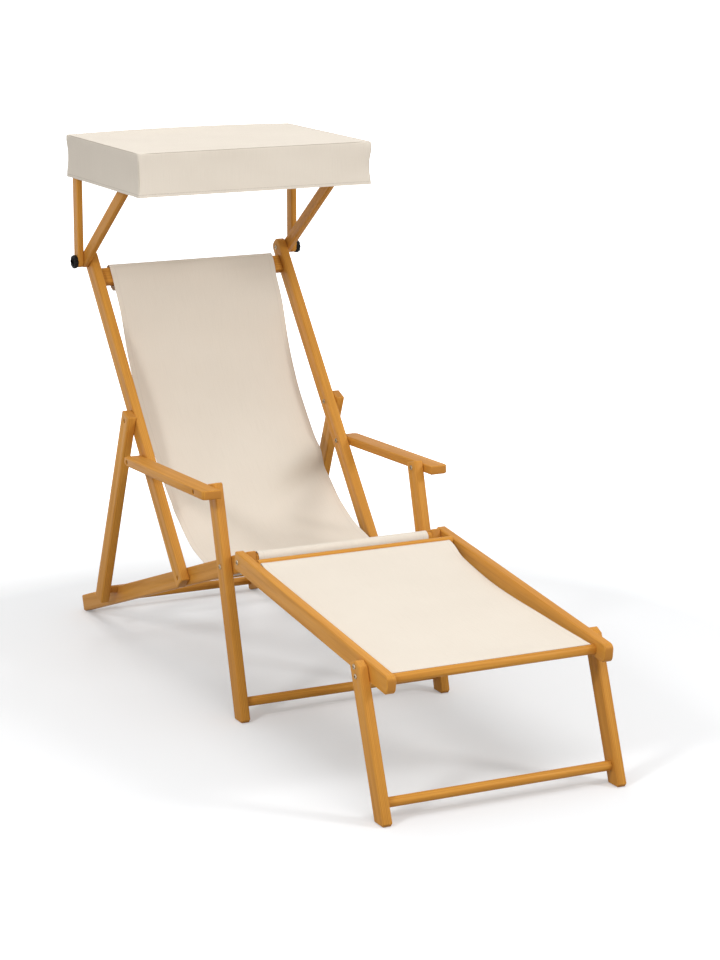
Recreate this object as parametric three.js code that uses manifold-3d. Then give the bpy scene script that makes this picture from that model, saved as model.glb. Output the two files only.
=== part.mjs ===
// Folding timber sun lounger with a fabric sling, a footrest on its own legs and a tilting
// box canopy. Millimetres, +Z up, the sitter faces -Y, the floor is z = 0.
// Most pieces are drawn in the side view, where the first number is Y and the second is Z,
// and are given their thickness along X.
import * as THREE from 'three';
import { mergeVertices } from 'three/addons/utils/BufferGeometryUtils.js';
import Module from 'manifold-3d';

const wasm = await Module();
wasm.setup();

// Timber and clearances
const overall_width = 600;
const armrest_width = 43;
const armrest_thickness = 20;
const timber_thickness = 21;
const timber_depth = 40;
const timber_edge = 2;
const layer_gap = 0.3;
const bore_clearance = 0.4;
const cut_overrun = 4;
const weld_distance = 0.0005;

// Seat rails
const seat_slope_deg = 18.9;
const seat_rail_length = 1071;
const heel_flat = 8;
const footrest_pivot_setback = 11;
const leg_pivot_setback = 109.4;
const back_pivot_setback = 368;
const rear_dowel_setback = 15;
const rear_dowel_rise = 4;
const rail_end_round = 3;

// Notches for the prop
const notch_before_heel = 244.7;
const notch_land = 3.9;
const notch_count = 3;
const notch_depth = 6;
const notch_ramp_deg = 19.5;

// Front legs
const front_leg_lean_deg = 15.4;
const leg_bolt_above_pivot = 169.4;
const leg_above_bolt = 13.6;
const leg_dowel_height = 39;
const leg_toe_chamfer = 7;
const leg_top_chamfer = 3;

// Back frame
const back_angle_deg = 51.25;
const back_rail_below_pivot = 16;
const back_rail_above_pivot = 857;
const armrest_bolt_along_back = 300.5;
const prop_bolt_along_back = 406.8;
const top_rail_below_end = 64;
const top_rail_setback = 5;
const top_rail_width = 41;
const top_rail_thickness = 20;
const canopy_bolt_below_end = 19.8;
const back_head_round = 16;

// Prop
const prop_above_pivot = 20;
const prop_below_dowel = 24;
const prop_dowel_diameter = 18;

// Armrests
const armrest_ahead_of_leg_bolt = 56;
const armrest_behind_back_bolt = 21;
const armrest_corner_round = 11;
const armrest_heel_cut_length = 24;
const armrest_heel_cut_height = 9;

// Footrest
const footrest_slope_deg = 6.6;
const footrest_rail_ahead = 717;
const footrest_rail_behind = 16;
const footrest_front_dowel_setback = 43;
const footrest_front_dowel_drop = 3;
const footrest_front_dowel_diameter = 22;
const footrest_rear_dowel_ahead = 57;
const footrest_rear_dowel_rise = 14;
const footrest_rear_dowel_diameter = 19;
const footrest_leg_behind_front = 102;
const footrest_front_round = 12;
const footrest_leg_lean_deg = 20.4;
const footrest_screw_spacing = 19.5;
const footrest_screw_rise = 5.5;
const footrest_leg_top_chamfer = 14;
const footrest_leg_above_screw = 11;

// Cross dowels
const leg_dowel_diameter = 21;
const front_bar_diameter = 21;
const sling_bar_rise = 5;

// Fabric
const cloth_thickness = 1.6;
const sling_side_gap = 3.9;
const sling_hem_gap = 0.3;
// The sling's course. Each pair is a share along the back rail or the seat rail, from the
// pivot between them, and a share of the timber's depth in front of the back rail's middle
// or above the seat rail's lower edge.
const sling_back_shares = [
  [0.803, -0.08],
  [0.69, -0.82],
  [0.569, -1.17],
  [0.46, -1.17],
  [0.364, -1],
  [0.277, -0.81],
  [0.186, -0.42],
  [0.089, 0.36],
];
const sling_seat_shares = [
  [0.149, 1.32],
  [0.26, 0.72],
  [0.36, 0.34],
  [0.46, 0.17],
  [0.57, 0.16],
  [0.71, 0.34],
  [0.86, 0.62],
];
const footrest_cloth_side_gap = 9.7;
const footrest_cloth_sag = 9;

// Canopy
const canopy_side_gap = 0.4;
const canopy_length = 449;
const canopy_height = 99;
const canopy_top_above_bolt = 297.9;
const canopy_rear_overhang = 38;
const canopy_corner_round = 15;
const canopy_rim_round = 5;
const canopy_roof_step = 2.6;
const canopy_roof_sag = 3;
const canopy_side_bulge = 1.2;
const canopy_arm_thickness = 14;
const canopy_arm_width = 30;
const canopy_arm_foot_round = 14;
const canopy_bar_diameter = 20;
const canopy_front_bar_setback = 36;

// The cover's section, from the hem up its wall, round its rim and across its roof. A wall
// pair is a share of its height and of its draw-in. A rim triple has the shares of the rim's
// radius, inwards and down, and of the cloth's thickness. A roof triple has a share of the
// plan's size, of the roof's step below the rim and of its sag.
const cover_wall_shares = [
  [0, 1],
  [0.35, 0.6],
  [0.7, 0],
  [0.92, 0],
];
const cover_rim_shares = [
  [0.4, 0.4, 0.4],
  [1, 0, 1],
];
const cover_roof_inset_share = 2;
const cover_roof_shares = [
  [1, 0.65, 0],
  [0.78, 1, 0],
  [0.52, 1, 0.7],
  [0.26, 1, 1],
];

// Fasteners
const bolt_diameter = 6;
const bolt_head_diameter = 13;
const bolt_head_height = 2.4;
const sleeve_diameter = 10;
const sleeve_recess = 3;
const sleeve_length = 6;
const screw_bite = 16;
const knob_diameter = 33;
const knob_thickness = 11.5;
// The knob's section, as shares of its radius and of its thickness from its inner face.
const knob_profile_shares = [
  [0.86, 0],
  [1, 0.2],
  [1, 0.55],
  [0.8, 0.9],
  [0.4, 1],
  [0, 1],
];
const head_flat_share = 0.5;
const head_rim_share = 0.34;
const knob_bore_depth = 7;

// Counts that set how finely round shapes are cut
const arc_steps = 2;
const pocket_steps = 12;
const bolt_sides = 12;
const dowel_sides = 20;
const bore_sides = 12;
const cloth_steps = 44;

const radians = THREE.MathUtils.degToRad;
const half_depth = timber_depth / 2;

// Lateral layers of the frame, from the seat rails outwards. Each value is a layer's inner face.
const outer_layer_x = overall_width / 2 - armrest_width;
const middle_layer_x = outer_layer_x - layer_gap - timber_thickness;
const inner_layer_x = middle_layer_x - layer_gap - timber_thickness;
const rear_arm_x = outer_layer_x + canopy_arm_thickness + layer_gap;
const knob_x = rear_arm_x + canopy_arm_thickness + layer_gap;
const sling_width = 2 * (inner_layer_x - sling_side_gap);
const footrest_cloth_width = 2 * (middle_layer_x - footrest_cloth_side_gap);
const cover_wall = canopy_side_gap + canopy_side_bulge + cloth_thickness;
const canopy_width = 2 * (rear_arm_x + canopy_arm_thickness + cover_wall);

const wood = { color: 0xcc9347, roughness: 0.55, metalness: 0 };
const cloth = { color: 0xe6dccb, roughness: 0.95, metalness: 0 };
const steel = { color: 0xb9bcc0, roughness: 0.35, metalness: 0.9 };
const black_plastic = { color: 0x161616, roughness: 0.45, metalness: 0 };

// A line in the side view with an origin and a direction. Places on it are a distance along
// it and a distance across it, to its left.
function sideLine(origin, degrees) {
  const angle = radians(degrees);
  const cos = Math.cos(angle);
  const sin = Math.sin(angle);
  const at = (along, across) => [
    origin[0] + along * cos - across * sin,
    origin[1] + along * sin + across * cos,
  ];
  return { origin, angle, at };
}

function distance(a, b) {
  return Math.hypot(b[0] - a[0], b[1] - a[1]);
}

function degreesFrom(a, b) {
  return THREE.MathUtils.radToDeg(Math.atan2(b[1] - a[1], b[0] - a[0]));
}

// The frame's side view. The rails stand on a short flat cut at their heels, so the uncut
// corner of a rail would lie a little under the floor.
const seat_slope = radians(seat_slope_deg);
const heel_corner_drop = heel_flat / (1 / Math.tan(seat_slope) + Math.tan(seat_slope));
const seat_front = [
  -seat_rail_length * Math.cos(seat_slope),
  seat_rail_length * Math.sin(seat_slope) - heel_corner_drop,
];
const seat_line = sideLine(seat_front, -seat_slope_deg);
const footrest_pivot = seat_line.at(footrest_pivot_setback, half_depth);
const sling_bar_place = seat_line.at(footrest_pivot_setback, half_depth + sling_bar_rise);
const leg_pivot = seat_line.at(leg_pivot_setback, half_depth);
const back_pivot = seat_line.at(back_pivot_setback, half_depth);
const leg_line = sideLine(leg_pivot, 90 - front_leg_lean_deg);
const back_line = sideLine(back_pivot, back_angle_deg);
const armrest_front_bolt = leg_line.at(leg_bolt_above_pivot, 0);
const armrest_rear_bolt = back_line.at(armrest_bolt_along_back, 0);
const armrest_line = sideLine(armrest_front_bolt, degreesFrom(armrest_front_bolt, armrest_rear_bolt));
const armrest_span = distance(armrest_front_bolt, armrest_rear_bolt);
const prop_pivot = back_line.at(prop_bolt_along_back, 0);
const notch_setback = seat_rail_length - notch_before_heel;
const notch_height = timber_depth - notch_depth;
const prop_dowel_centre = seat_line.at(notch_setback, notch_height);
const prop_line = sideLine(prop_pivot, degreesFrom(prop_pivot, prop_dowel_centre));
const prop_span = distance(prop_pivot, prop_dowel_centre);
const top_rail_along_back = back_rail_above_pivot - top_rail_below_end;
const canopy_bolt_along_back = back_rail_above_pivot - canopy_bolt_below_end;
const canopy_pivot = back_line.at(canopy_bolt_along_back, 0);
const footrest_line = sideLine(footrest_pivot, footrest_slope_deg);
const footrest_leg_line = sideLine(
  footrest_line.at(footrest_leg_behind_front - footrest_rail_ahead, footrest_screw_rise),
  90 - footrest_leg_lean_deg,
);

// Solids and meshes

function toManifold(geometry) {
  const bare = geometry.clone();
  bare.deleteAttribute('normal');
  bare.deleteAttribute('uv');
  const merged = mergeVertices(bare, weld_distance);
  const index = merged.index.array;
  const kept = [];
  for (let i = 0; i < index.length; i += 3) {
    const [a, b, c] = [index[i], index[i + 1], index[i + 2]];
    if (a !== b && b !== c && c !== a) kept.push(a, b, c);
  }
  return new wasm.Manifold(new wasm.Mesh({
    numProp: 3,
    vertProperties: new Float32Array(merged.attributes.position.array),
    triVerts: new Uint32Array(kept),
  }));
}

function toGeometry(manifold) {
  const mesh = manifold.getMesh();
  const geometry = new THREE.BufferGeometry();
  geometry.setAttribute('position', new THREE.BufferAttribute(mesh.vertProperties, 3));
  geometry.setIndex(new THREE.BufferAttribute(mesh.triVerts, 1));
  geometry.computeVertexNormals();
  return geometry;
}

function cut(geometry, cutters) {
  return toGeometry(cutters.reduce(
    (solid, cutter) => solid.subtract(toManifold(cutter)),
    toManifold(geometry),
  ));
}

function join(geometries) {
  return toGeometry(geometries.map(toManifold).reduce((a, b) => a.add(b)));
}

function makeMesh(name, geometry, finish, x, origin, angle) {
  const mesh = new THREE.Mesh(geometry, new THREE.MeshStandardMaterial(finish));
  mesh.name = name;
  mesh.position.set(x, origin[0], origin[1]);
  mesh.rotation.x = angle;
  return mesh;
}

// Builds a piece for each side. make(sign) returns the mesh of the side where X has that sign.
function bothSides(make) {
  return [make('left', -1), make('right', 1)];
}

function sideX(sign, inner, thickness) {
  return sign > 0 ? inner : -inner - thickness;
}

// A closed outline from corners [along, across, radius]. A corner with no radius stays sharp.
function outline(corners) {
  const shape = new THREE.Shape();
  corners.forEach(([u, v, radius = 0], i) => {
    const corner = new THREE.Vector2(u, v);
    const before = new THREE.Vector2(...corners.at(i - 1)).sub(corner).normalize();
    const after = new THREE.Vector2(...corners[(i + 1) % corners.length]).sub(corner).normalize();
    const half_turn = before.angleTo(after) / 2;
    const reach = radius / Math.tan(half_turn);
    const first = corner.clone().addScaledVector(before, reach);
    const last = corner.clone().addScaledVector(after, reach);
    if (i === 0) shape.moveTo(first.x, first.y);
    else shape.lineTo(first.x, first.y);
    if (radius === 0) return;
    const middle = before.clone().add(after).normalize();
    const centre = corner.clone().addScaledVector(middle, radius / Math.sin(half_turn));
    const turns_right = before.cross(after) > 0;
    shape.absarc(
      centre.x,
      centre.y,
      radius,
      first.clone().sub(centre).angle(),
      last.clone().sub(centre).angle(),
      turns_right,
    );
  });
  shape.closePath();
  return shape;
}

// Gives a flat outline its thickness, with its edges eased by a small chamfer.
function board(shape, thickness, edge) {
  const geometry = new THREE.ExtrudeGeometry(shape, {
    depth: thickness - 2 * edge,
    curveSegments: arc_steps,
    bevelEnabled: edge > 0,
    bevelThickness: edge,
    bevelSize: edge,
    bevelOffset: -edge,
    bevelSegments: 1,
  });
  return geometry.translate(0, 0, edge);
}

// Turns a drawing's first axis to Y, its second to Z and its thickness to X.
function toSideView(geometry) {
  const basis = new THREE.Matrix4().makeBasis(
    new THREE.Vector3(0, 1, 0),
    new THREE.Vector3(0, 0, 1),
    new THREE.Vector3(1, 0, 0),
  );
  return geometry.applyMatrix4(basis);
}

function sideBoard(corners, thickness) {
  return toSideView(board(outline(corners), thickness, timber_edge));
}

// A straight bar's outline, from one distance along its line to another.
function barCorners(from, to, depth, start_round, end_round) {
  const most = depth / 2 - layer_gap;
  const start = Math.min(start_round, most);
  const end = Math.min(end_round, most);
  return [
    [from, -depth / 2, start],
    [to, -depth / 2, end],
    [to, depth / 2, end],
    [from, depth / 2, start],
  ];
}

// A cylinder whose axis is X, from one X to another, at a place in the side view.
function crossCylinder(diameter, from, to, place, sides) {
  return new THREE.CylinderGeometry(diameter / 2, diameter / 2, to - from, sides)
    .rotateZ(-Math.PI / 2)
    .translate((from + to) / 2, place[0], place[1]);
}

function bore(place, thickness) {
  const diameter = bolt_diameter + 2 * bore_clearance;
  return crossCylinder(diameter, -cut_overrun, thickness + cut_overrun, place, bore_sides);
}

// A round recess for a sleeve nut in the face of a board that points away from the sitter.
function sleeveRecess(sign, place, thickness) {
  const diameter = sleeve_diameter + 2 * bore_clearance;
  const depth = sleeve_recess + sleeve_length + bore_clearance;
  const from = sign > 0 ? thickness - depth : -cut_overrun;
  const to = sign > 0 ? thickness + cut_overrun : depth;
  return crossCylinder(diameter, from, to, place, bore_sides);
}

function crossBar(name, diameter, half_length, place) {
  const geometry = crossCylinder(diameter, -half_length, half_length, [0, 0], dowel_sides);
  return makeMesh(name, geometry, wood, 0, place, 0);
}

// A turned piece along X. Each profile point is [radius, X] on the right-hand side.
function turned(name, profile, sign, place, finish) {
  const points = profile.map(([radius, x]) => new THREE.Vector2(radius, x));
  const geometry = new THREE.LatheGeometry(points, bolt_sides).rotateZ(-Math.PI / 2);
  if (sign < 0) geometry.rotateY(Math.PI);
  return makeMesh(name, toGeometry(toManifold(geometry)), finish, 0, place, 0);
}

function domeProfile(face, direction) {
  const radius = bolt_head_diameter / 2;
  return [
    [0, face + direction * bolt_head_height],
    [radius * head_flat_share, face + direction * bolt_head_height],
    [radius, face + direction * bolt_head_height * head_rim_share],
    [radius, face],
  ];
}

// A bolt with a domed head on an inner face and a sleeve nut sunk in an outer face.
function sleeveBolt(name, sign, place, inner_face, outer_face) {
  const shank = bolt_diameter / 2;
  const sleeve = sleeve_diameter / 2;
  const sleeve_end = outer_face - sleeve_recess;
  return turned(name, [
    ...domeProfile(inner_face - layer_gap / 2, -1),
    [shank, inner_face - layer_gap / 2],
    [shank, sleeve_end - sleeve_length],
    [sleeve, sleeve_end - sleeve_length],
    [sleeve, sleeve_end],
    [0, sleeve_end],
  ], sign, place, steel);
}

// A bolt or screw with a domed head on an outer face, and a plain or a domed inner end.
function headedBolt(name, sign, place, inner_end, outer_face, domed_inner_end) {
  const shank = bolt_diameter / 2;
  const start = domed_inner_end ? domeProfile(inner_end - layer_gap / 2, -1) : [[0, inner_end]];
  const shank_start = domed_inner_end ? inner_end - layer_gap / 2 : inner_end;
  const head = domeProfile(outer_face + layer_gap / 2, 1).reverse();
  return turned(name, [
    ...start,
    [shank, shank_start],
    [shank, outer_face + layer_gap / 2],
    ...head,
  ], sign, place, steel);
}

// Seat frame

// A notch has a steep wall towards the sitter and a long ramp towards the heel, which the
// dowel runs up as the back is let down.
const notch_radius = prop_dowel_diameter / 2 + layer_gap;
const notch_ramp = radians(notch_ramp_deg);
const ramp_foot_along = notch_radius * Math.sin(notch_ramp);
const ramp_foot_height = notch_height - notch_radius * Math.cos(notch_ramp);
const ramp_end_along = ramp_foot_along + (timber_depth - ramp_foot_height) / Math.tan(notch_ramp);
const notch_pitch = ramp_end_along + notch_radius + notch_land;

function notchCorners(centre) {
  const wall = centre - notch_radius;
  const wall_foot = ramp_foot_height - (ramp_foot_along + notch_radius) * Math.tan(notch_ramp);
  return [
    [centre + ramp_end_along, timber_depth],
    [wall, wall_foot, notch_radius],
    [wall, timber_depth],
  ];
}

function seatRail(side, sign) {
  const notches = [];
  for (let i = notch_count - 1; i >= 0; i -= 1) {
    notches.push(...notchCorners(notch_setback + i * notch_pitch));
  }
  const heel_along = heel_corner_drop / Math.sin(seat_slope);
  const heel_up = heel_corner_drop / Math.cos(seat_slope);
  const geometry = sideBoard([
    [0, 0, rail_end_round],
    [seat_rail_length - heel_along, 0],
    [seat_rail_length, heel_up],
    [seat_rail_length, timber_depth, rail_end_round],
    ...notches,
    [0, timber_depth, rail_end_round],
  ], timber_thickness);
  const bores = [footrest_pivot_setback, leg_pivot_setback, back_pivot_setback]
    .map((along) => bore([along, half_depth], timber_thickness));
  const x = sideX(sign, inner_layer_x, timber_thickness);
  return makeMesh(`seat_rail_${side}`, cut(geometry, bores), wood, x, seat_line.origin, seat_line.angle);
}

// Cloth in the side view: a strip of even thickness along a smooth line.
function clothStrip(points, steps) {
  const curve = new THREE.CatmullRomCurve3(points.map(([y, z]) => new THREE.Vector3(y, z, 0)));
  const upper = [];
  const lower = [];
  for (let i = 0; i <= steps; i += 1) {
    const place = curve.getPointAt(i / steps);
    const tangent = curve.getTangentAt(i / steps);
    const normal = new THREE.Vector3(-tangent.y, tangent.x, 0).multiplyScalar(cloth_thickness / 2);
    upper.push(new THREE.Vector2(place.x + normal.x, place.y + normal.y));
    lower.push(new THREE.Vector2(place.x - normal.x, place.y - normal.y));
  }
  return new THREE.Shape([...lower, ...upper.reverse()]);
}

function clothSolid(shape, width) {
  const geometry = new THREE.ExtrudeGeometry(shape, {
    depth: width,
    curveSegments: pocket_steps,
    bevelEnabled: false,
  });
  return toSideView(geometry.translate(0, 0, -width / 2));
}

// The pocket sewn round the front bar.
function roundPocket(centre, inner_radius) {
  const shape = new THREE.Shape();
  shape.absarc(centre[0], centre[1], inner_radius + cloth_thickness, 0, 2 * Math.PI, false);
  const hole = new THREE.Path();
  hole.absarc(centre[0], centre[1], inner_radius, 0, 2 * Math.PI, true);
  shape.holes.push(hole);
  return shape;
}

// The pocket sewn round the flat top rail.
function flatPocket(line, along, across, width, thickness) {
  const corners = (half_width, half_thickness, radius) => [
    [-half_width, -half_thickness],
    [half_width, -half_thickness],
    [half_width, half_thickness],
    [-half_width, half_thickness],
  ].map(([u, v]) => [...line.at(along + u, across + v), radius]);
  const half_width = width / 2 + sling_hem_gap;
  const half_thickness = thickness / 2 + sling_hem_gap;
  const shape = outline(corners(
    half_width + cloth_thickness,
    half_thickness + cloth_thickness,
    timber_edge + cloth_thickness,
  ));
  shape.holes.push(outline(corners(half_width, half_thickness, timber_edge)));
  return shape;
}

// The line of the hung sling, from the front of the top rail down the back, through the
// hollow behind the sitter's hips and the dip of the seat, up to the top of the front bar.
function slingLine() {
  const lift = sling_hem_gap + cloth_thickness / 2;
  const front_cloth = top_rail_thickness / 2 + lift - top_rail_setback;
  const edge_along = top_rail_along_back - top_rail_width / 2;
  const seat_span = back_pivot_setback - footrest_pivot_setback;
  return [
    back_line.at(top_rail_along_back, front_cloth),
    back_line.at(edge_along, front_cloth),
    ...sling_back_shares.map(([along, across]) => (
      back_line.at(along * back_rail_above_pivot, across * timber_depth)
    )),
    ...sling_seat_shares.map(([along, across]) => (
      seat_line.at(back_pivot_setback - along * seat_span, across * timber_depth)
    )),
    seat_line.at(footrest_pivot_setback, half_depth + sling_bar_rise + front_bar_diameter / 2 + lift),
  ];
}

function sling() {
  const pocket_radius = front_bar_diameter / 2 + sling_hem_gap;
  const strip = clothSolid(clothStrip(slingLine(), cloth_steps), sling_width);
  const front = clothSolid(roundPocket(sling_bar_place, pocket_radius), sling_width);
  const top = clothSolid(
    flatPocket(back_line, top_rail_along_back, -top_rail_setback, top_rail_width, top_rail_thickness),
    sling_width,
  );
  return makeMesh('sling', join([strip, front, top]), cloth, 0, [0, 0], 0);
}

// Back frame

function backRail(side, sign) {
  const corners = barCorners(
    -back_rail_below_pivot,
    back_rail_above_pivot,
    timber_depth,
    rail_end_round,
    back_head_round,
  );
  const stations = [armrest_bolt_along_back, prop_bolt_along_back, canopy_bolt_along_back];
  const cutters = stations.map((along) => bore([along, 0], timber_thickness));
  cutters.push(bore([0, 0], timber_thickness), sleeveRecess(sign, [0, 0], timber_thickness));
  const geometry = cut(sideBoard(corners, timber_thickness), cutters);
  const x = sideX(sign, middle_layer_x, timber_thickness);
  return makeMesh(`back_rail_${side}`, geometry, wood, x, back_line.origin, back_line.angle);
}

function topCrossRail() {
  const half_length = middle_layer_x - layer_gap;
  const shape = outline(barCorners(-half_length, half_length, top_rail_width, 0, 0));
  const geometry = board(shape, top_rail_thickness, timber_edge).translate(0, 0, -top_rail_thickness / 2);
  const place = back_line.at(top_rail_along_back, -top_rail_setback);
  return makeMesh('top_cross_rail', geometry, wood, 0, place, back_line.angle);
}

// Prop

function propStrut(side, sign) {
  const corners = barCorners(
    -prop_above_pivot,
    prop_span + prop_below_dowel,
    timber_depth,
    rail_end_round,
    rail_end_round,
  );
  const geometry = cut(sideBoard(corners, timber_thickness), [
    bore([0, 0], timber_thickness),
    sleeveRecess(sign, [0, 0], timber_thickness),
  ]);
  const x = sideX(sign, outer_layer_x, timber_thickness);
  return makeMesh(`prop_strut_${side}`, geometry, wood, x, prop_line.origin, prop_line.angle);
}

// Armrests

function armrest(side, sign) {
  const front = -armrest_ahead_of_leg_bolt;
  const rear = armrest_span + armrest_behind_back_bolt;
  const outer = sign * armrest_width;
  const round = armrest_corner_round;
  const corners = sign > 0
    ? [[0, front], [outer, front, round], [outer, rear, round], [0, rear]]
    : [[0, front], [0, rear], [outer, rear, round], [outer, front, round]];
  const plank = board(outline(corners), armrest_thickness, timber_edge)
    .translate(0, 0, -armrest_thickness / 2);
  const heel = toSideView(board(outline([
    [rear - armrest_heel_cut_length, -armrest_thickness / 2 - cut_overrun],
    [rear + cut_overrun, -armrest_thickness / 2 - cut_overrun],
    [rear + cut_overrun, armrest_heel_cut_height - armrest_thickness / 2],
    [rear, armrest_heel_cut_height - armrest_thickness / 2],
    [rear - armrest_heel_cut_length, -armrest_thickness / 2],
  ]), 2 * armrest_width + 2 * cut_overrun, 0)).translate(-armrest_width - cut_overrun, 0, 0);
  const bolts = [[0, 0], [armrest_span, 0]].flatMap((place) => {
    const cutters = [bore(place, armrest_width), sleeveRecess(1, place, armrest_width)];
    return sign > 0 ? cutters : cutters.map((cutter) => cutter.rotateY(Math.PI));
  });
  const geometry = cut(plank, [heel, ...bolts]);
  const x = sign * outer_layer_x;
  return makeMesh(`armrest_${side}`, geometry, wood, x, armrest_line.origin, armrest_line.angle);
}

// Legs

// A leg cut level where it stands on the floor. along_floor is the distance along its line
// to the floor, and lean is its line's lean from the vertical.
function legCorners(along_floor, top, lean, toe_chamfer, top_chamfer) {
  const slant = Math.tan(lean);
  return [
    [along_floor + half_depth * slant, -half_depth],
    [top, -half_depth, rail_end_round],
    [top, half_depth - top_chamfer],
    [top - top_chamfer, half_depth],
    [along_floor - half_depth * slant + toe_chamfer, half_depth],
    [along_floor - (half_depth - toe_chamfer) * slant, half_depth - toe_chamfer],
  ];
}

function frontLeg(side, sign) {
  const lean = radians(front_leg_lean_deg);
  const along_floor = -leg_pivot[1] / Math.cos(lean);
  const top = leg_bolt_above_pivot + leg_above_bolt;
  const corners = legCorners(along_floor, top, lean, leg_toe_chamfer, leg_top_chamfer);
  const geometry = cut(sideBoard(corners, timber_thickness), [
    bore([0, 0], timber_thickness),
    bore([leg_bolt_above_pivot, 0], timber_thickness),
  ]);
  const x = sideX(sign, middle_layer_x, timber_thickness);
  return makeMesh(`front_leg_${side}`, geometry, wood, x, leg_line.origin, leg_line.angle);
}

function legDowelPlace(line, lean_deg) {
  const along = (leg_dowel_height - line.origin[1]) / Math.cos(radians(lean_deg));
  return line.at(along, 0);
}

// Footrest

function footrestRail(side, sign) {
  const corners = barCorners(
    -footrest_rail_ahead,
    footrest_rail_behind,
    timber_depth,
    footrest_front_round,
    rail_end_round,
  );
  const screw_places = [0, -footrest_screw_spacing].map((along) => {
    const [y, z] = footrest_leg_line.at(along, 0);
    const dy = y - footrest_pivot[0];
    const dz = z - footrest_pivot[1];
    const cos = Math.cos(footrest_line.angle);
    const sin = Math.sin(footrest_line.angle);
    return [dy * cos + dz * sin, dz * cos - dy * sin];
  });
  const cutters = [[0, 0], ...screw_places].map((place) => bore(place, timber_thickness));
  const geometry = cut(sideBoard(corners, timber_thickness), cutters);
  const x = sideX(sign, middle_layer_x, timber_thickness);
  return makeMesh(`footrest_rail_${side}`, geometry, wood, x, footrest_line.origin, footrest_line.angle);
}

function footrestLeg(side, sign) {
  const lean = radians(footrest_leg_lean_deg);
  const along_floor = -footrest_leg_line.origin[1] / Math.cos(lean);
  const corners = legCorners(
    along_floor,
    footrest_leg_above_screw,
    lean,
    leg_toe_chamfer,
    footrest_leg_top_chamfer,
  );
  const geometry = cut(sideBoard(corners, timber_thickness), [
    bore([0, 0], timber_thickness),
    bore([-footrest_screw_spacing, 0], timber_thickness),
  ]);
  const x = sideX(sign, outer_layer_x, timber_thickness);
  return makeMesh(
    `footrest_leg_${side}`,
    geometry,
    wood,
    x,
    footrest_leg_line.origin,
    footrest_leg_line.angle,
  );
}

const footrest_front_dowel_place = [
  -footrest_rail_ahead + footrest_front_dowel_setback,
  -footrest_front_dowel_drop,
];
const footrest_rear_dowel_place = [-footrest_rear_dowel_ahead, footrest_rear_dowel_rise];

// The footrest cloth is held at the top of the front dowel and the front of the rear dowel.
function footrestCloth() {
  const lift = layer_gap + cloth_thickness / 2;
  const front_top = footrest_front_dowel_place[1] + footrest_front_dowel_diameter / 2 + lift;
  const rear_reach = footrest_rear_dowel_diameter / 2 + lift;
  const rear_y = footrest_rear_dowel_place[0] - rear_reach;
  const rear_z = footrest_rear_dowel_place[1] + footrest_rear_dowel_diameter / 4;
  const front_y = footrest_front_dowel_place[0];
  const middle = [(front_y + rear_y) / 2, (front_top + rear_z) / 2 - footrest_cloth_sag];
  const shape = clothStrip([
    [front_y - lift, front_top],
    [front_y + footrest_front_dowel_diameter / 2, front_top - cloth_thickness],
    middle,
    [rear_y, rear_z],
  ], cloth_steps / 4);
  const geometry = clothSolid(shape, footrest_cloth_width);
  return makeMesh('footrest_cloth', geometry, cloth, 0, footrest_line.origin, footrest_line.angle);
}

// Canopy, drawn round its pivot

const canopy_top = canopy_top_above_bolt;
const canopy_rear = canopy_rear_overhang;
const canopy_front = canopy_rear - canopy_length;
const roof_inside = canopy_top - canopy_roof_step - cloth_thickness;
const bar_height = roof_inside - layer_gap - canopy_bar_diameter / 2;
const front_bar_place = [canopy_front + canopy_front_bar_setback, bar_height];
const rear_bar_place = [0, bar_height];

// A front arm ends in a level and a plumb cut, so that it fits the corner of the cover.
function canopyFrontArm(side, sign) {
  const line = sideLine([0, 0], degreesFrom([0, 0], front_bar_place));
  const half = canopy_arm_width / 2;
  const cos = Math.cos(line.angle);
  const sin = Math.sin(line.angle);
  const top = roof_inside - layer_gap;
  const nose = front_bar_place[0] - canopy_bar_diameter / 2 - timber_edge;
  const level_cut = (top + half * cos) / sin;
  const plumb_along = (nose + half * sin) / cos;
  const corner = [nose * cos + top * sin, top * cos - nose * sin];
  const geometry = sideBoard([
    [-canopy_arm_foot_round, -half, canopy_arm_foot_round],
    [level_cut, -half],
    corner,
    [plumb_along, half],
    [-canopy_arm_foot_round, half, canopy_arm_foot_round],
  ], canopy_arm_thickness);
  const x = sideX(sign, outer_layer_x, canopy_arm_thickness);
  const cutter = bore([0, 0], canopy_arm_thickness);
  return makeMesh(
    `canopy_front_arm_${side}`,
    cut(geometry, [cutter]),
    wood,
    x,
    canopy_pivot,
    line.angle,
  );
}

function canopyRearArm(side, sign) {
  const geometry = sideBoard(barCorners(
    -canopy_arm_foot_round,
    roof_inside - layer_gap,
    canopy_arm_width,
    canopy_arm_foot_round,
    canopy_rim_round,
  ), canopy_arm_thickness);
  const x = sideX(sign, rear_arm_x, canopy_arm_thickness);
  const cutter = bore([0, 0], canopy_arm_thickness);
  return makeMesh(
    `canopy_rear_arm_${side}`,
    cut(geometry, [cutter]),
    wood,
    x,
    canopy_pivot,
    Math.PI / 2,
  );
}

function canopyBar(name, place, half_length) {
  const world = [canopy_pivot[0] + place[0], canopy_pivot[1] + place[1]];
  return crossBar(name, canopy_bar_diameter, half_length, world);
}

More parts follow.
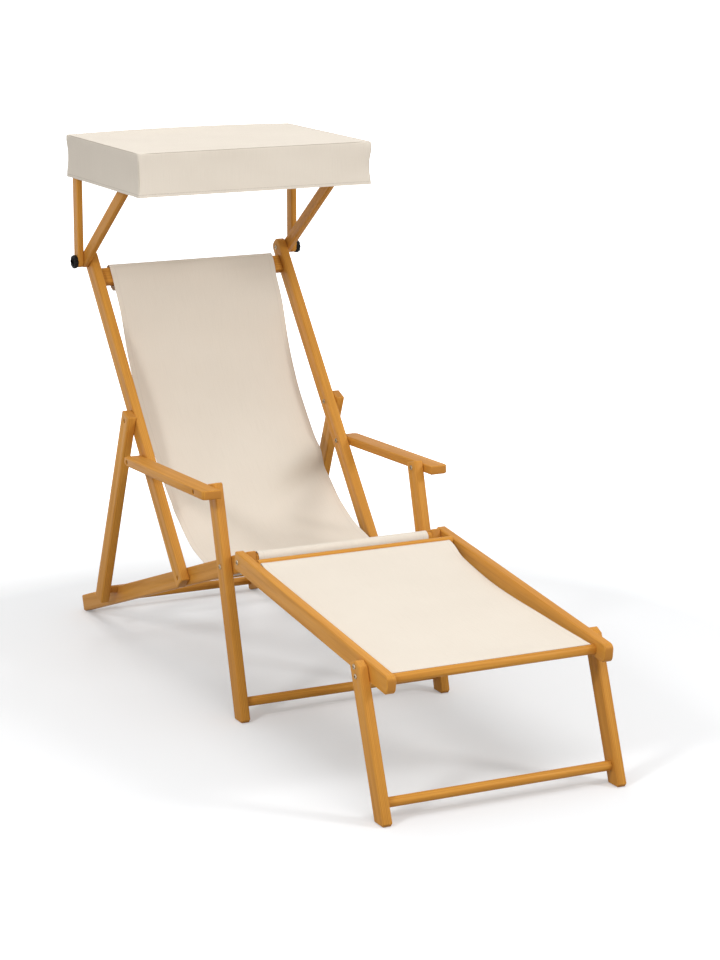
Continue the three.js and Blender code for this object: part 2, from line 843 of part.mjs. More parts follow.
// A level ring round the cover, as a rounded rectangle. inset moves it inwards, and share
// shrinks it towards the middle of the roof.
function coverRing(inset, share, height) {
  const half_width = canopy_width / 2 - inset;
  const half_length = canopy_length / 2 - inset;
  const middle = (canopy_front + canopy_rear) / 2;
  const corner_steps = 3;
  const side_steps = 6;
  const ring = [];
  const corners = [[1, -1], [1, 1], [-1, 1], [-1, -1]];
  const round = canopy_corner_round - inset;
  corners.forEach(([sx, sy], k) => {
    const centre = [sx * (half_width - round), sy * (half_length - round)];
    const start = (k - 1) * Math.PI / 2;
    for (let i = 0; i <= corner_steps; i += 1) {
      const angle = start + (i / corner_steps) * Math.PI / 2;
      ring.push([centre[0] + round * Math.cos(angle), centre[1] + round * Math.sin(angle)]);
    }
    const [nx, ny] = corners[(k + 1) % corners.length];
    const next = [nx * (half_width - round), ny * (half_length - round)];
    const end = start + Math.PI / 2;
    const from = [centre[0] + round * Math.cos(end), centre[1] + round * Math.sin(end)];
    const to = [next[0] + round * Math.cos(end), next[1] + round * Math.sin(end)];
    for (let i = 1; i < side_steps; i += 1) {
      const t = i / side_steps;
      ring.push([from[0] + (to[0] - from[0]) * t, from[1] + (to[1] - from[1]) * t]);
    }
  });
  return ring.map(([x, y]) => [x * share, middle + y * share, height]);
}

// One wall of the cover from its hem to the middle of the roof. Depth is 0 on the outside
// and the cloth's thickness on the inside.
function coverRings(depth) {
  const hem = canopy_top - canopy_height;
  const rim = canopy_rim_round;
  return [
    ...cover_wall_shares.map(([height_share, bulge_share]) => (
      coverRing(depth + canopy_side_bulge * bulge_share, 1, hem + canopy_height * height_share)
    )),
    ...cover_rim_shares.map(([inset_share, drop_share, depth_share]) => (
      coverRing(depth + rim * inset_share, 1, canopy_top - rim * drop_share - depth * depth_share)
    )),
    ...cover_roof_shares.map(([plan_share, step_share, sag_share]) => coverRing(
      rim * cover_roof_inset_share,
      plan_share,
      canopy_top - canopy_roof_step * step_share - canopy_roof_sag * sag_share - depth,
    )),
  ];
}

function canopyCover() {
  const outside = coverRings(0);
  const inside = coverRings(cloth_thickness);
  const rings = [...outside.toReversed(), ...inside];
  const count = rings[0].length;
  const middle = (canopy_front + canopy_rear) / 2;
  const roof_low = canopy_top - canopy_roof_step - canopy_roof_sag;
  const points = rings.flat();
  points.push([0, middle, roof_low], [0, middle, roof_low - cloth_thickness]);
  const faces = [];
  for (let j = 0; j + 1 < rings.length; j += 1) {
    for (let i = 0; i < count; i += 1) {
      const a = j * count + i;
      const b = j * count + ((i + 1) % count);
      faces.push(a, a + count, b, b, a + count, b + count);
    }
  }
  const last = (rings.length - 1) * count;
  for (let i = 0; i < count; i += 1) {
    const next = (i + 1) % count;
    faces.push(points.length - 2, i, next);
    faces.push(points.length - 1, last + next, last + i);
  }
  const geometry = new THREE.BufferGeometry();
  geometry.setAttribute('position', new THREE.Float32BufferAttribute(points.flat(), 3));
  geometry.setIndex(faces);
  geometry.computeVertexNormals();
  return makeMesh('canopy_cover', geometry, cloth, 0, canopy_pivot, 0);
}

function knob(side, sign) {
  const bore_radius = bolt_diameter / 2 + bore_clearance;
  return turned(`knob_${side}`, [
    [0, knob_x + knob_bore_depth],
    [bore_radius, knob_x + knob_bore_depth],
    [bore_radius, knob_x],
    ...knob_profile_shares.map(([radius_share, thickness_share]) => [
      knob_diameter / 2 * radius_share,
      knob_x + knob_thickness * thickness_share,
    ]),
  ], sign, canopy_pivot, black_plastic);
}

// A bolt whose plain end reaches into the knob.
function knobBolt(side, sign) {
  const shank = bolt_diameter / 2;
  const end = knob_x + knob_bore_depth - bore_clearance;
  return turned(`canopy_bolt_${side}`, [
    ...domeProfile(middle_layer_x - layer_gap / 2, -1),
    [shank, middle_layer_x - layer_gap / 2],
    [shank, end],
    [0, end],
  ], sign, canopy_pivot, steel);
}

// Assembly

const middle_outer_face = middle_layer_x + timber_thickness;
const outer_outer_face = outer_layer_x + timber_thickness;
const armrest_outer_face = outer_layer_x + armrest_width;

const lounger = new THREE.Group();
lounger.add(
  ...bothSides(seatRail),
  crossBar(
    'rear_cross_dowel',
    leg_dowel_diameter,
    inner_layer_x - layer_gap,
    seat_line.at(seat_rail_length - rear_dowel_setback, half_depth + rear_dowel_rise),
  ),
  crossBar('front_sling_bar', front_bar_diameter, inner_layer_x - layer_gap, sling_bar_place),
  sling(),
  ...bothSides((side, sign) => sleeveBolt(
    `back_pivot_bolt_${side}`, sign, back_pivot, inner_layer_x, middle_outer_face,
  )),
  ...bothSides((side, sign) => headedBolt(
    `leg_pivot_bolt_${side}`, sign, leg_pivot, inner_layer_x, middle_outer_face, true,
  )),
  ...bothSides((side, sign) => headedBolt(
    `footrest_pivot_bolt_${side}`, sign, footrest_pivot, inner_layer_x, middle_outer_face, false,
  )),
);
lounger.add(
  ...bothSides(backRail),
  topCrossRail(),
  ...bothSides((side, sign) => sleeveBolt(
    `prop_pivot_bolt_${side}`, sign, prop_pivot, middle_layer_x, outer_outer_face,
  )),
  ...bothSides((side, sign) => sleeveBolt(
    `armrest_rear_bolt_${side}`, sign, armrest_rear_bolt, middle_layer_x, armrest_outer_face,
  )),
  ...bothSides(knobBolt),
);
lounger.add(
  ...bothSides(propStrut),
  crossBar('prop_dowel', prop_dowel_diameter, outer_layer_x - layer_gap, prop_dowel_centre),
);
lounger.add(
  ...bothSides(armrest),
  ...bothSides((side, sign) => turned(`armrest_front_bolt_${side}`, [
    [0, outer_layer_x + layer_gap],
    [bolt_diameter / 2, outer_layer_x + layer_gap],
    [bolt_diameter / 2, armrest_outer_face - sleeve_recess - sleeve_length],
    [sleeve_diameter / 2, armrest_outer_face - sleeve_recess - sleeve_length],
    [sleeve_diameter / 2, armrest_outer_face - sleeve_recess],
    [0, armrest_outer_face - sleeve_recess],
  ], sign, armrest_front_bolt, steel)),
);
lounger.add(
  ...bothSides(frontLeg),
  crossBar(
    'front_leg_dowel',
    leg_dowel_diameter,
    middle_layer_x - layer_gap,
    legDowelPlace(leg_line, front_leg_lean_deg),
  ),
  ...bothSides((side, sign) => turned(`front_leg_nut_${side}`, [
    ...domeProfile(middle_layer_x - layer_gap / 2, -1),
    [bolt_diameter / 2, middle_layer_x - layer_gap / 2],
    [bolt_diameter / 2, middle_outer_face - layer_gap],
    [0, middle_outer_face - layer_gap],
  ], sign, armrest_front_bolt, steel)),
);
lounger.add(
  ...bothSides(footrestRail),
  crossBar(
    'footrest_front_dowel',
    footrest_front_dowel_diameter,
    middle_layer_x - layer_gap,
    footrest_line.at(...footrest_front_dowel_place),
  ),
  crossBar(
    'footrest_rear_dowel',
    footrest_rear_dowel_diameter,
    middle_layer_x - layer_gap,
    footrest_line.at(...footrest_rear_dowel_place),
  ),
  footrestCloth(),
  ...bothSides(footrestLeg),
  crossBar(
    'footrest_leg_dowel',
    leg_dowel_diameter,
    outer_layer_x - layer_gap,
    legDowelPlace(footrest_leg_line, footrest_leg_lean_deg),
  ),
  ...['upper', 'lower'].flatMap((level, i) => bothSides((side, sign) => headedBolt(
    `footrest_leg_screw_${level}_${side}`,
    sign,
    footrest_leg_line.at(-i * footrest_screw_spacing, 0),
    middle_outer_face - screw_bite,
    outer_outer_face,
    false,
  ))),
);
lounger.add(
  ...bothSides(canopyFrontArm),
  ...bothSides(canopyRearArm),
  canopyBar('canopy_front_bar', front_bar_place, outer_layer_x - layer_gap),
  canopyBar('canopy_rear_bar', rear_bar_place, rear_arm_x - layer_gap),
  canopyCover(),
  ...bothSides(knob),
);

// The origin is the middle of the lounger's footprint, on the floor.
const box = new THREE.Box3().setFromObject(lounger);
lounger.position.y = -(box.min.y + box.max.y) / 2;

const part = new THREE.Group();
part.add(lounger);
export default part;
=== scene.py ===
"""Looks of the folding timber sun lounger with its sling, footrest and canopy, in metres."""

import logging
import math
from collections.abc import Callable
from dataclasses import dataclass
from enum import Enum

import bmesh
import bpy
from mathutils import Matrix, Vector, noise


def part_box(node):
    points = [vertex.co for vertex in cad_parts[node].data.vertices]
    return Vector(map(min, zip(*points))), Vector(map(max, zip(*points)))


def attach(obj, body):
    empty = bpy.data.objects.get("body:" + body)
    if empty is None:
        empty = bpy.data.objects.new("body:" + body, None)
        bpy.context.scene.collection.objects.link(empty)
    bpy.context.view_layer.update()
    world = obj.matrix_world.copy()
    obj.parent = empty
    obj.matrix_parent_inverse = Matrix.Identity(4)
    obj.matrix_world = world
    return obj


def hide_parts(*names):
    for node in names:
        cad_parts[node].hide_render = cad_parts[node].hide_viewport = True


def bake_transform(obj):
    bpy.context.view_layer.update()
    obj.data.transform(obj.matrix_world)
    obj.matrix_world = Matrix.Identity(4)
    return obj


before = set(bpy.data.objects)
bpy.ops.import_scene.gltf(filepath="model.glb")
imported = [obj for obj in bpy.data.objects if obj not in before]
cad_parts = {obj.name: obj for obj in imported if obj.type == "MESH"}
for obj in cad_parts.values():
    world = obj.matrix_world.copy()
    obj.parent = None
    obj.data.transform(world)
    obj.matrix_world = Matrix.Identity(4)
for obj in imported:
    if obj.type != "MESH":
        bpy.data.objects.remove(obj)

LOG = logging.getLogger("lounger")
SIDES = (("left", -1.0), ("right", 1.0))
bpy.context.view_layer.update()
WELD = 1e-6  # Points closer than this are one
RIM_DEGREES = 75  # Edges of thickened cloth sharper than this stay sharp

Colour = tuple[float, float, float]
Output = tuple[bpy.types.Node, str | int]


class Axis(Enum):
    """Which way a piece's grain or profile runs."""

    ACROSS = "across"
    SIDE = "side"


def node_centre(name: str) -> Vector:
    """Returns the middle of a CAD node's box at rest."""
    low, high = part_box(name)
    return (low + high) / 2


def smoothstep(low: float, high: float, value: float) -> float:
    """Returns 0 before low, 1 after high and a smooth rise between them."""
    share = min(1.0, max(0.0, (value - low) / (high - low)))
    return share * share * (3 - 2 * share)


def bell(step: float) -> float:
    """Returns a bell curve's height, 1 at its middle, at a number of widths from there."""
    return math.exp(-step * step / 2)


def plateau(value: float, rise: tuple[float, float], fall: tuple[float, float]) -> float:
    """Returns a value's share of a plateau, 1 between its smooth rise and its smooth fall."""
    return smoothstep(*rise, value) * (1 - smoothstep(*fall, value))


def bearing(azimuth: float, elevation: float) -> Vector:
    """Returns the direction from the lounger at a bearing and height, both in degrees."""
    a, e = math.radians(azimuth), math.radians(elevation)
    return Vector((math.sin(a) * math.cos(e), -math.cos(a) * math.cos(e), math.sin(e)))


@dataclass(frozen=True)
class SideLine:
    """A line in the side view, from an origin and at an angle above the rear horizon.

    Attributes:
        origin: A point on the line.
        degrees: The line's angle, with 0 pointing to the rear and 90 upwards.
    """

    origin: Vector
    degrees: float

    def at(self, along: float, across: float = 0.0) -> Vector:
        """Returns the point at a distance along and across the line.

        Args:
            along: Distance from the origin.
            across: Distance to the left of the line's direction.

        Returns:
            The point in the row frame, in the lounger's middle plane.
        """
        angle = math.radians(self.degrees)
        return Vector((
            0.0,
            self.origin.y + along * math.cos(angle) - across * math.sin(angle),
            self.origin.z + along * math.sin(angle) + across * math.cos(angle),
        ))


def line_through(first: str, second: str) -> SideLine:
    """Returns the side-view line from one CAD node's centre to another's."""
    a, b = node_centre(first), node_centre(second)
    return SideLine(a, math.degrees(math.atan2(b.z - a.z, b.y - a.y)))


class NodeTree:
    """Adds nodes and links to a node tree."""

    def __init__(self, tree: bpy.types.NodeTree) -> None:
        """Empties a node tree.

        Args:
            tree: The material's or the world's node tree.
        """
        self.tree = tree
        tree.nodes.clear()

    def node(self, kind: str, **settings: object) -> bpy.types.Node:
        """Adds a node and sets its properties and input sockets.

        Args:
            kind: The node's type without its ShaderNode prefix.
            settings: Properties of the node, or values of its inputs by name with spaces as
                underscores.

        Returns:
            The new node.
        """
        made = self.tree.nodes.new("ShaderNode" + kind)
        for key, value in settings.items():
            if hasattr(made, key):
                setattr(made, key, value)
            else:
                made.inputs[key.replace("_", " ")].default_value = value
        return made

    def link(
        self,
        source: bpy.types.Node,
        output: str | int,
        target: bpy.types.Node,
        socket: str | int,
    ) -> None:
        """Links one node's output to another's input."""
        self.tree.links.new(source.outputs[output], target.inputs[socket])

    def math(
        self,
        operation: str,
        first: float | Output,
        second: float | Output = 0.0,
    ) -> bpy.types.Node:
        """Adds a Math node whose inputs are numbers or (node, output) pairs.

        Args:
            operation: The node's operation.
            first: The first input.
            second: The second input.

        Returns:
            The Math node.
        """
        made = self.node("Math", operation=operation)
        for place, value in enumerate((first, second)):
            if isinstance(value, tuple):
                self.link(*value, made, place)
            else:
                made.inputs[place].default_value = value
        return made

    def mix(self, factor: Output, first: Colour | Output, second: Colour | Output) -> bpy.types.Node:
        """Adds a colour mix whose inputs are colours or (node, output) pairs.

        Args:
            factor: The mix, a (node, output) pair.
            first: The colour at 0.
            second: The colour at 1.

        Returns:
            The Mix node, whose colour is its output 2.
        """
        made = self.node("Mix", data_type="RGBA")
        self.link(*factor, made, 0)
        for place, value in ((6, first), (7, second)):
            if isinstance(value[0], bpy.types.Node):
                self.link(*value, made, place)
            else:
                made.inputs[place].default_value = (*value, 1.0)
        return made

    def ramp(self, source: Output, low: float, high: float) -> bpy.types.Node:
        """Adds a Map Range that stretches low..high of a source to 0..1.

        Args:
            source: The (node, output) pair to stretch.
            low: The value that becomes 0.
            high: The value that becomes 1.

        Returns:
            The Map Range node.
        """
        made = self.node("MapRange", From_Min=low, From_Max=high)
        self.link(*source, made, "Value")
        return made

    def direct_rays(self) -> bpy.types.Node:
        """Adds a mask of the rays that see a thing straight or mirrored.

        Returns:
            The mask, 1 for rays from the camera, off a gloss or through glass, else 0.
        """
        seen = self.node("LightPath")
        mirrored = self.math("MAXIMUM", (seen, "Is Glossy Ray"), (seen, "Is Transmission Ray"))
        return self.math("MAXIMUM", (seen, "Is Camera Ray"), (mirrored, 0))


class Finish(NodeTree):
    """Builds a material's nodes."""

    def __init__(self, name: str) -> None:
        """Starts a material with an output and a Principled shader.

        Args:
            name: The material's name.
        """
        self.material = bpy.data.materials.new(name)
        self.material.use_nodes = True
        super().__init__(self.material.node_tree)
        self.output = self.node("OutputMaterial")
        self.shader = self.node("BsdfPrincipled")
        self.link(self.shader, "BSDF", self.output, "Surface")

    def set_values(self, **values: float) -> None:
        """Sets plain values of the shader, by socket name with spaces as underscores."""
        for key, value in values.items():
            self.shader.inputs[key.replace("_", " ")].default_value = value

    def roughness(self, source: Output, share: float, base: float) -> None:
        """Links a roughness that varies with a source.

        Args:
            source: The (node, output) pair that it varies with.
            share: How much rougher the surface is where the source is 1.
            base: The roughness where the source is 0.
        """
        rough = self.math("MULTIPLY_ADD", source, share)
        rough.inputs[2].default_value = base
        self.link(rough, 0, self.shader, "Roughness")

    def bump(self, height: Output, strength: float, distance: float) -> None:
        """Feeds the shader's normal from a Bump node.

        Args:
            height: The (node, output) pair that holds the height.
            strength: The bump's strength, from 0 to 1.
            distance: The height of a step from 0 to 1, in metres.
        """
        made = self.node("Bump", Strength=strength, Distance=distance)
        self.link(*height, made, "Height")
        self.link(made, "Normal", self.shader, "Normal")


@dataclass(frozen=True)
class OiledTimber:
    """Honey-coloured hardwood with lengthwise grain under a satin oil.

    Attributes:
        light: Colour of the pale grain.
        dark: Colour of the late-wood lines.
        end: Colour of the sawn ends.
        roughness: Roughness of the oiled face.
        band_share: How much the broad growth bands darken the face.
        line_share: How much the late-wood lines darken it.
        fibre_share: How much the fibres darken it.
        patch_share: How much the board's uneven patches darken it.
        seed_shift: How far a seed of 1 shifts the pattern.
    """

    light: Colour = (0.7, 0.325, 0.052)
    dark: Colour = (0.47, 0.185, 0.024)
    end: Colour = (0.5, 0.21, 0.034)
    roughness: float = 0.5
    band_share: float = 0.42
    line_share: float = 0.34
    fibre_share: float = 0.2
    patch_share: float = 0.22
    seed_shift: tuple[float, float, float] = (1.7, 3.1, 0.9)

    def material(
        self,
        name: str,
        degrees: float,
        axis: Axis = Axis.SIDE,
        seed: float = 0.0,
    ) -> bpy.types.Material:
        """Builds the timber for pieces that run one way.

        Args:
            name: The material's name.
            degrees: Angle of the grain in the side view.
            axis: Whether the grain lies in the side view or across the lounger.
            seed: Shifts the pattern, so that no two pieces are cut from one place.

        Returns:
            The material.
        """
        tree = Finish(name)
        coordinates = tree.node("TexCoord")
        if axis is Axis.SIDE:
            turned = (-math.radians(degrees), 0.0, 0.0)
        else:
            turned = (0.0, 0.0, math.radians(90))
        shift = tuple(seed * step for step in self.seed_shift)
        place = tree.node("Mapping", Rotation=turned, Location=shift)
        tree.link(coordinates, "Object", place, "Vector")
        growth = self._stretched(tree, place, (52.0, 1.6, 52.0), detail=3.0, distortion=0.9)
        fibre = self._stretched(tree, place, (900.0, 14.0, 900.0), detail=2.0, distortion=0.0)
        patch = self._stretched(tree, place, (9.0, 0.7, 9.0), detail=2.0, distortion=0.4)
        lines = tree.math("MULTIPLY", (self._rings(tree, place), 0), self.line_share)
        bands = tree.math("MULTIPLY", (tree.ramp((growth, "Fac"), 0.36, 0.7), 0), self.band_share)
        threads = tree.math("MULTIPLY", (tree.ramp((fibre, "Fac"), 0.42, 0.75), 0), self.fibre_share)
        patches = tree.math("MULTIPLY", (tree.ramp((patch, "Fac"), 0.35, 0.7), 0), self.patch_share)
        grain = tree.math("ADD", (lines, 0), (bands, 0))
        tone = tree.math("ADD", (tree.math("ADD", (grain, 0), (threads, 0)), 0), (patches, 0))
        tone.use_clamp = True
        face = tree.mix((tone, 0), self.light, self.dark)
        sawn = tree.mix((self._sawn_end(tree, coordinates, turned), 0), (face, 2), self.end)
        tree.link(sawn, 2, tree.shader, "Base Color")
        tree.roughness((tone, 0), 0.12, self.roughness)
        tree.set_values(Specular_IOR_Level=0.15, Coat_Weight=0.08, Coat_Roughness=0.35)
        relief = tree.math("ADD", (tree.math("MULTIPLY", (fibre, "Fac"), 0.6), 0), (lines, 0))
        tree.bump((relief, 0), 0.22, 0.0004)
        return tree.material

    @staticmethod
    def _stretched(
        tree: Finish,
        place: bpy.types.Node,
        scale: tuple[float, float, float],
        detail: float,
        distortion: float,
    ) -> bpy.types.Node:
        """Adds a noise that is stretched along the grain.

        Args:
            tree: The timber's nodes.
            place: The node that turns places to the grain's axes.
            scale: How fine the noise is on each axis, with the grain along the second.
            detail: The noise's detail.
            distortion: The noise's distortion.

        Returns:
            The noise.
        """
        squeeze = tree.node("Mapping", Scale=scale)
        tree.link(place, "Vector", squeeze, "Vector")
        made = tree.node("TexNoise", Scale=1.0, Detail=detail, Distortion=distortion)
        tree.link(squeeze, "Vector", made, "Vector")
        return made

    @staticmethod
    def _rings(tree: Finish, place: bpy.types.Node) -> bpy.types.Node:
        """Adds the late-wood lines.

        Args:
            tree: The timber's nodes.
            place: The node that turns places to the grain's axes.

        Returns:
            The lines, 1 where they are darkest.
        """
        rings = tree.node(
            "TexWave",
            wave_type="BANDS",
            bands_direction="X",
            Scale=3.4,
            Distortion=7.0,
            Detail=2.0,
            Detail_Scale=0.7,
        )
        warp = tree.node("Mapping", Scale=(26.0, 1.1, 20.0))
        tree.link(place, "Vector", warp, "Vector")
        tree.link(warp, "Vector", rings, "Vector")
        return tree.ramp((rings, "Color"), 0.25, 1.0)

    @staticmethod
    def _sawn_end(
        tree: Finish,
        coordinates: bpy.types.Node,
        turned: tuple[float, float, float],
    ) -> bpy.types.Node:
        """Adds a mask of the faces that are sawn square to the grain.

        Args:
            tree: The timber's nodes.
            coordinates: The node that gives places and normals.
            turned: The rotation to the grain's axes.

        Returns:
            The mask, 1 on a sawn end.
        """
        turn = tree.node("Mapping", vector_type="NORMAL", Rotation=turned)
        tree.link(coordinates, "Normal", turn, "Vector")
        split = tree.node("SeparateXYZ")
        tree.link(turn, "Vector", split, "Vector")
        return tree.ramp((tree.math("ABSOLUTE", (split, "Y")), 0), 0.8, 0.97)


@dataclass(frozen=True)
class Canvas:
    """Cream woven canvas. Its UV map is in metres of cloth.

    Attributes:
        colour: Colour of the yarn.
        shade: Colour between the yarns.
        thread_and_crease_shade: Colour of the stitches, thread with painted shade in their dents, and
            of the painted shade in deep creases.
        stitch: How strongly the lines of stitches show.
        pitch: Distance from one yarn to the next.
        gap_share: How much the gaps between yarns darken the cloth.
        mottle_share: How much its uneven patches darken it.
        slub_share: How much its thick yarns darken it.
        crease_shade_share: How much the painted shade in a deep crease darkens it.
        seam_half_width: Half the width of a line of stitches.
        stitches_per_metre: How many stitches a metre of seam has.
        stitch_fill: Share of a stitch's length that shows thread.
    """

    colour: Colour = (0.82, 0.745, 0.645)
    shade: Colour = (0.66, 0.585, 0.49)
    thread_and_crease_shade: Colour = (0.4, 0.34, 0.27)
    stitch: float = 0.3
    pitch: float = 0.0013
    gap_share: float = 0.3
    mottle_share: float = 0.12
    slub_share: float = 0.16
    crease_shade_share: float = 0.74
    seam_half_width: float = 0.0009
    stitches_per_metre: float = 280.0
    stitch_fill: float = 0.72

    def material(self, name: str, seams: tuple[tuple[str, float], ...] = ()) -> bpy.types.Material:
        """Builds the canvas with lines of stitches.

        Args:
            name: The material's name.
            seams: UV axis and place of each line of stitches, in metres of cloth.

        Returns:
            The material.
        """
        tree = Finish(name)
        coordinates = tree.node("UVMap", uv_map="cloth")
        split = tree.node("SeparateXYZ")
        tree.link(coordinates, "UV", split, "Vector")
        across = self._yarn(tree, (split, "X"))
        along = self._yarn(tree, (split, "Y"))
        weave = tree.math("MULTIPLY", (across, 0), (along, 0))
        uneven = tree.node("TexNoise", Scale=6.0, Detail=3.0)
        tree.link(tree.node("TexCoord"), "Object", uneven, "Vector")
        slub = tree.node("TexNoise", Scale=1.0, Detail=2.0)
        squeeze = tree.node("Mapping", Scale=(700.0, 18.0, 1.0))
        tree.link(coordinates, "UV", squeeze, "Vector")
        tree.link(squeeze, "Vector", slub, "Vector")
        gaps = tree.math("MULTIPLY", (tree.math("SUBTRACT", 1.0, (weave, 0)), 0), self.gap_share)
        mottle = tree.math("MULTIPLY", (tree.ramp((uneven, "Fac"), 0.35, 0.7), 0), self.mottle_share)
        streak = tree.math("MULTIPLY", (tree.ramp((slub, "Fac"), 0.45, 0.8), 0), self.slub_share)
        tone = tree.math("ADD", (tree.math("ADD", (gaps, 0), (mottle, 0)), 0), (streak, 0))
        yarn = tree.mix((tone, 0), self.colour, self.shade)
        height = weave
        if seams:
            stitches = self._stitches(tree, split, seams)
            dark = tree.math("MULTIPLY", (stitches, 0), self.stitch)
            yarn = tree.mix((dark, 0), (yarn, 2), self.thread_and_crease_shade)
            height = tree.math("SUBTRACT", (weave, 0), (tree.math("MULTIPLY", (stitches, 0), 1.5), 0))
        # Painted shade: a value kept on each point of the cloth darkens the canvas in its folds
        painted_crease_shade = tree.node("Attribute", attribute_name="painted_crease_shade")
        depth = tree.math("MULTIPLY", (painted_crease_shade, "Fac"), self.crease_shade_share)
        crease_shaded = tree.mix((depth, 0), (yarn, 2), self.thread_and_crease_shade)
        tree.link(crease_shaded, 2, tree.shader, "Base Color")
        tree.set_values(Roughness=0.92, Specular_IOR_Level=0.25, Sheen_Weight=0.12, Sheen_Roughness=0.5)
        tree.bump((height, 0), 0.35, 0.0003)
        return tree.material

    def _yarn(self, tree: Finish, source: Output) -> bpy.types.Node:
        """Adds the rounded ridges of the yarns that run one way."""
        turn = tree.math("MULTIPLY", source, math.pi / self.pitch)
        return tree.math("ABSOLUTE", (tree.math("SINE", (turn, 0)), 0))

    def _stitches(
        self,
        tree: Finish,
        split: bpy.types.Node,
        seams: tuple[tuple[str, float], ...],
    ) -> bpy.types.Node:
        """Adds lines of stitches.

        Args:
            tree: The canvas's nodes.
            split: The node that gives the place on the cloth.
            seams: UV axis and place of each line of stitches, in metres of cloth.

        Returns:
            The stitches, 1 where there is thread.
        """
        lines = []
        for axis, place in seams:
            other = "Y" if axis == "X" else "X"
            away = tree.math("ABSOLUTE", (tree.math("SUBTRACT", (split, axis), place), 0))
            near = tree.math("LESS_THAN", (away, 0), self.seam_half_width)
            run = tree.math("MULTIPLY", (split, other), self.stitches_per_metre)
            beat = tree.math("FRACT", (run, 0))
            dash = tree.math("LESS_THAN", (beat, 0), self.stitch_fill)
            lines.append(tree.math("MULTIPLY", (near, 0), (dash, 0)))
        total = lines[0]
        for line in lines[1:]:
            total = tree.math("MAXIMUM", (total, 0), (line, 0))
        return total


@dataclass(frozen=True)
class PlatedSteel:
    """Yellowish zinc-plated steel of the bolts and screws.

    Attributes:
        colour: Colour of the bright plating.
        worn: Colour of the dull plating.
    """

    colour: Colour = (0.5, 0.4, 0.28)
    worn: Colour = (0.27, 0.2, 0.13)

    def material(self, name: str) -> bpy.types.Material:
        """Builds the steel.

        Args:
            name: The material's name.

        Returns:
            The material.
        """
        tree = Finish(name)
        haze = tree.node("TexNoise", Scale=420.0, Detail=3.0)
        tree.link(tree.node("TexCoord"), "Object", haze, "Vector")
        plating = tree.mix((tree.ramp((haze, "Fac"), 0.35, 0.7), 0), self.colour, self.worn)
        tree.link(plating, 2, tree.shader, "Base Color")
        tree.set_values(Metallic=1.0)
        tree.roughness((haze, "Fac"), 0.25, 0.26)
        tree.bump((haze, "Fac"), 0.1, 0.0002)
        return tree.material


@dataclass(frozen=True)
class MouldedPlastic:
    """Black plastic with a fine moulded grain.

    Attributes:
        colour: Colour of the moulding.
        scuffed: Colour where hands have scuffed it.
    """

    colour: Colour = (0.004, 0.004, 0.0045)
    scuffed: Colour = (0.012, 0.012, 0.0125)

    def material(self, name: str) -> bpy.types.Material:
        """Builds the plastic.

        Args:
            name: The material's name.

        Returns:
            The material.
        """
        tree = Finish(name)
        coordinates = tree.node("TexCoord")
        grain = tree.node("TexNoise", Scale=1600.0, Detail=2.0)
        tree.link(coordinates, "Object", grain, "Vector")
        scuff = tree.node("TexNoise", Scale=150.0, Detail=3.0)
        tree.link(coordinates, "Object", scuff, "Vector")
        skin = tree.mix((tree.ramp((scuff, "Fac"), 0.5, 0.75), 0), self.colour, self.scuffed)
        tree.link(skin, 2, tree.shader, "Base Color")
        tree.roughness((scuff, "Fac"), 0.2, 0.42)
        tree.set_values(Specular_IOR_Level=0.14)
        tree.bump((grain, "Fac"), 0.25, 0.0001)
        return tree.material


def finish_piece(
    name: str,
    shape: bmesh.types.BMesh,
    body: str,
    material: bpy.types.Material,
    replaced: tuple[str, ...] = (),
    crease_degrees: float = 40.0,
) -> bpy.types.Object:
    """Turns a bmesh into a piece that rides on a body.

    Args:
        name: The piece's name.
        shape: Its mesh in the row frame. It is freed.
        body: The CAD body that it rides on.
        material: Its finish.
        replaced: The CAD nodes that it stands for.
        crease_degrees: Edges sharper than this stay sharp.

    Returns:
        The piece's object.
    """
    for face in shape.faces:
        face.smooth = True
    mesh = bpy.data.meshes.new(name)
    shape.to_mesh(mesh)
    shape.free()
    mesh.set_sharp_from_angle(angle=math.radians(crease_degrees))
    mesh.materials.append(material)
    piece = bpy.data.objects.new(name, mesh)
    bpy.context.scene.collection.objects.link(piece)
    if body:
        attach(piece, body)
    if replaced:
        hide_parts(*replaced)
    LOG.info("%s: %d faces on %s", name, len(mesh.polygons), body or "two bodies")
    return piece


def round_edges(
    shape: bmesh.types.BMesh,
    edges: list[bmesh.types.BMEdge],
    radius: float,
    segments: int,
    clamped: bool = False,
) -> None:
    """Rounds some of a mesh's edges over.

    Args:
        shape: The mesh.
        edges: Its edges to round.
        radius: The radius.
        segments: How many flats the rounding has.
        clamped: Whether the radius shrinks where edges lie close together.
    """
    bmesh.ops.bevel(
        shape,
        geom=edges,
        offset=radius,
        affect="EDGES",
        segments=segments,
        profile=0.5,
        material=-1,
        clamp_overlap=clamped,
    )


def fill_holes(shape: bmesh.types.BMesh) -> None:
    """Closes a mesh's open loops of edges with flat faces."""
    bmesh.ops.holes_fill(shape, edges=[edge for edge in shape.edges if edge.is_boundary])


def thicken(piece: bpy.types.Object, thickness: float, offset: float = 0.0) -> None:
    """Gives a sheet its thickness in its mesh, with sharp rims.

    Args:
        piece: The sheet's object.
        thickness: The thickness.
        offset: 0 to thicken both ways, -1 inwards or 1 outwards.
    """
    solid = piece.modifiers.new("thickness", "SOLIDIFY")
    solid.thickness = thickness
    solid.offset = offset
    graph = bpy.context.evaluated_depsgraph_get()
    made = bpy.data.meshes.new_from_object(piece.evaluated_get(graph), depsgraph=graph)
    old = piece.data
    piece.modifiers.clear()
    piece.data = made
    made.name = old.name
    bpy.data.meshes.remove(old)
    made.set_sharp_from_angle(angle=math.radians(RIM_DEGREES))


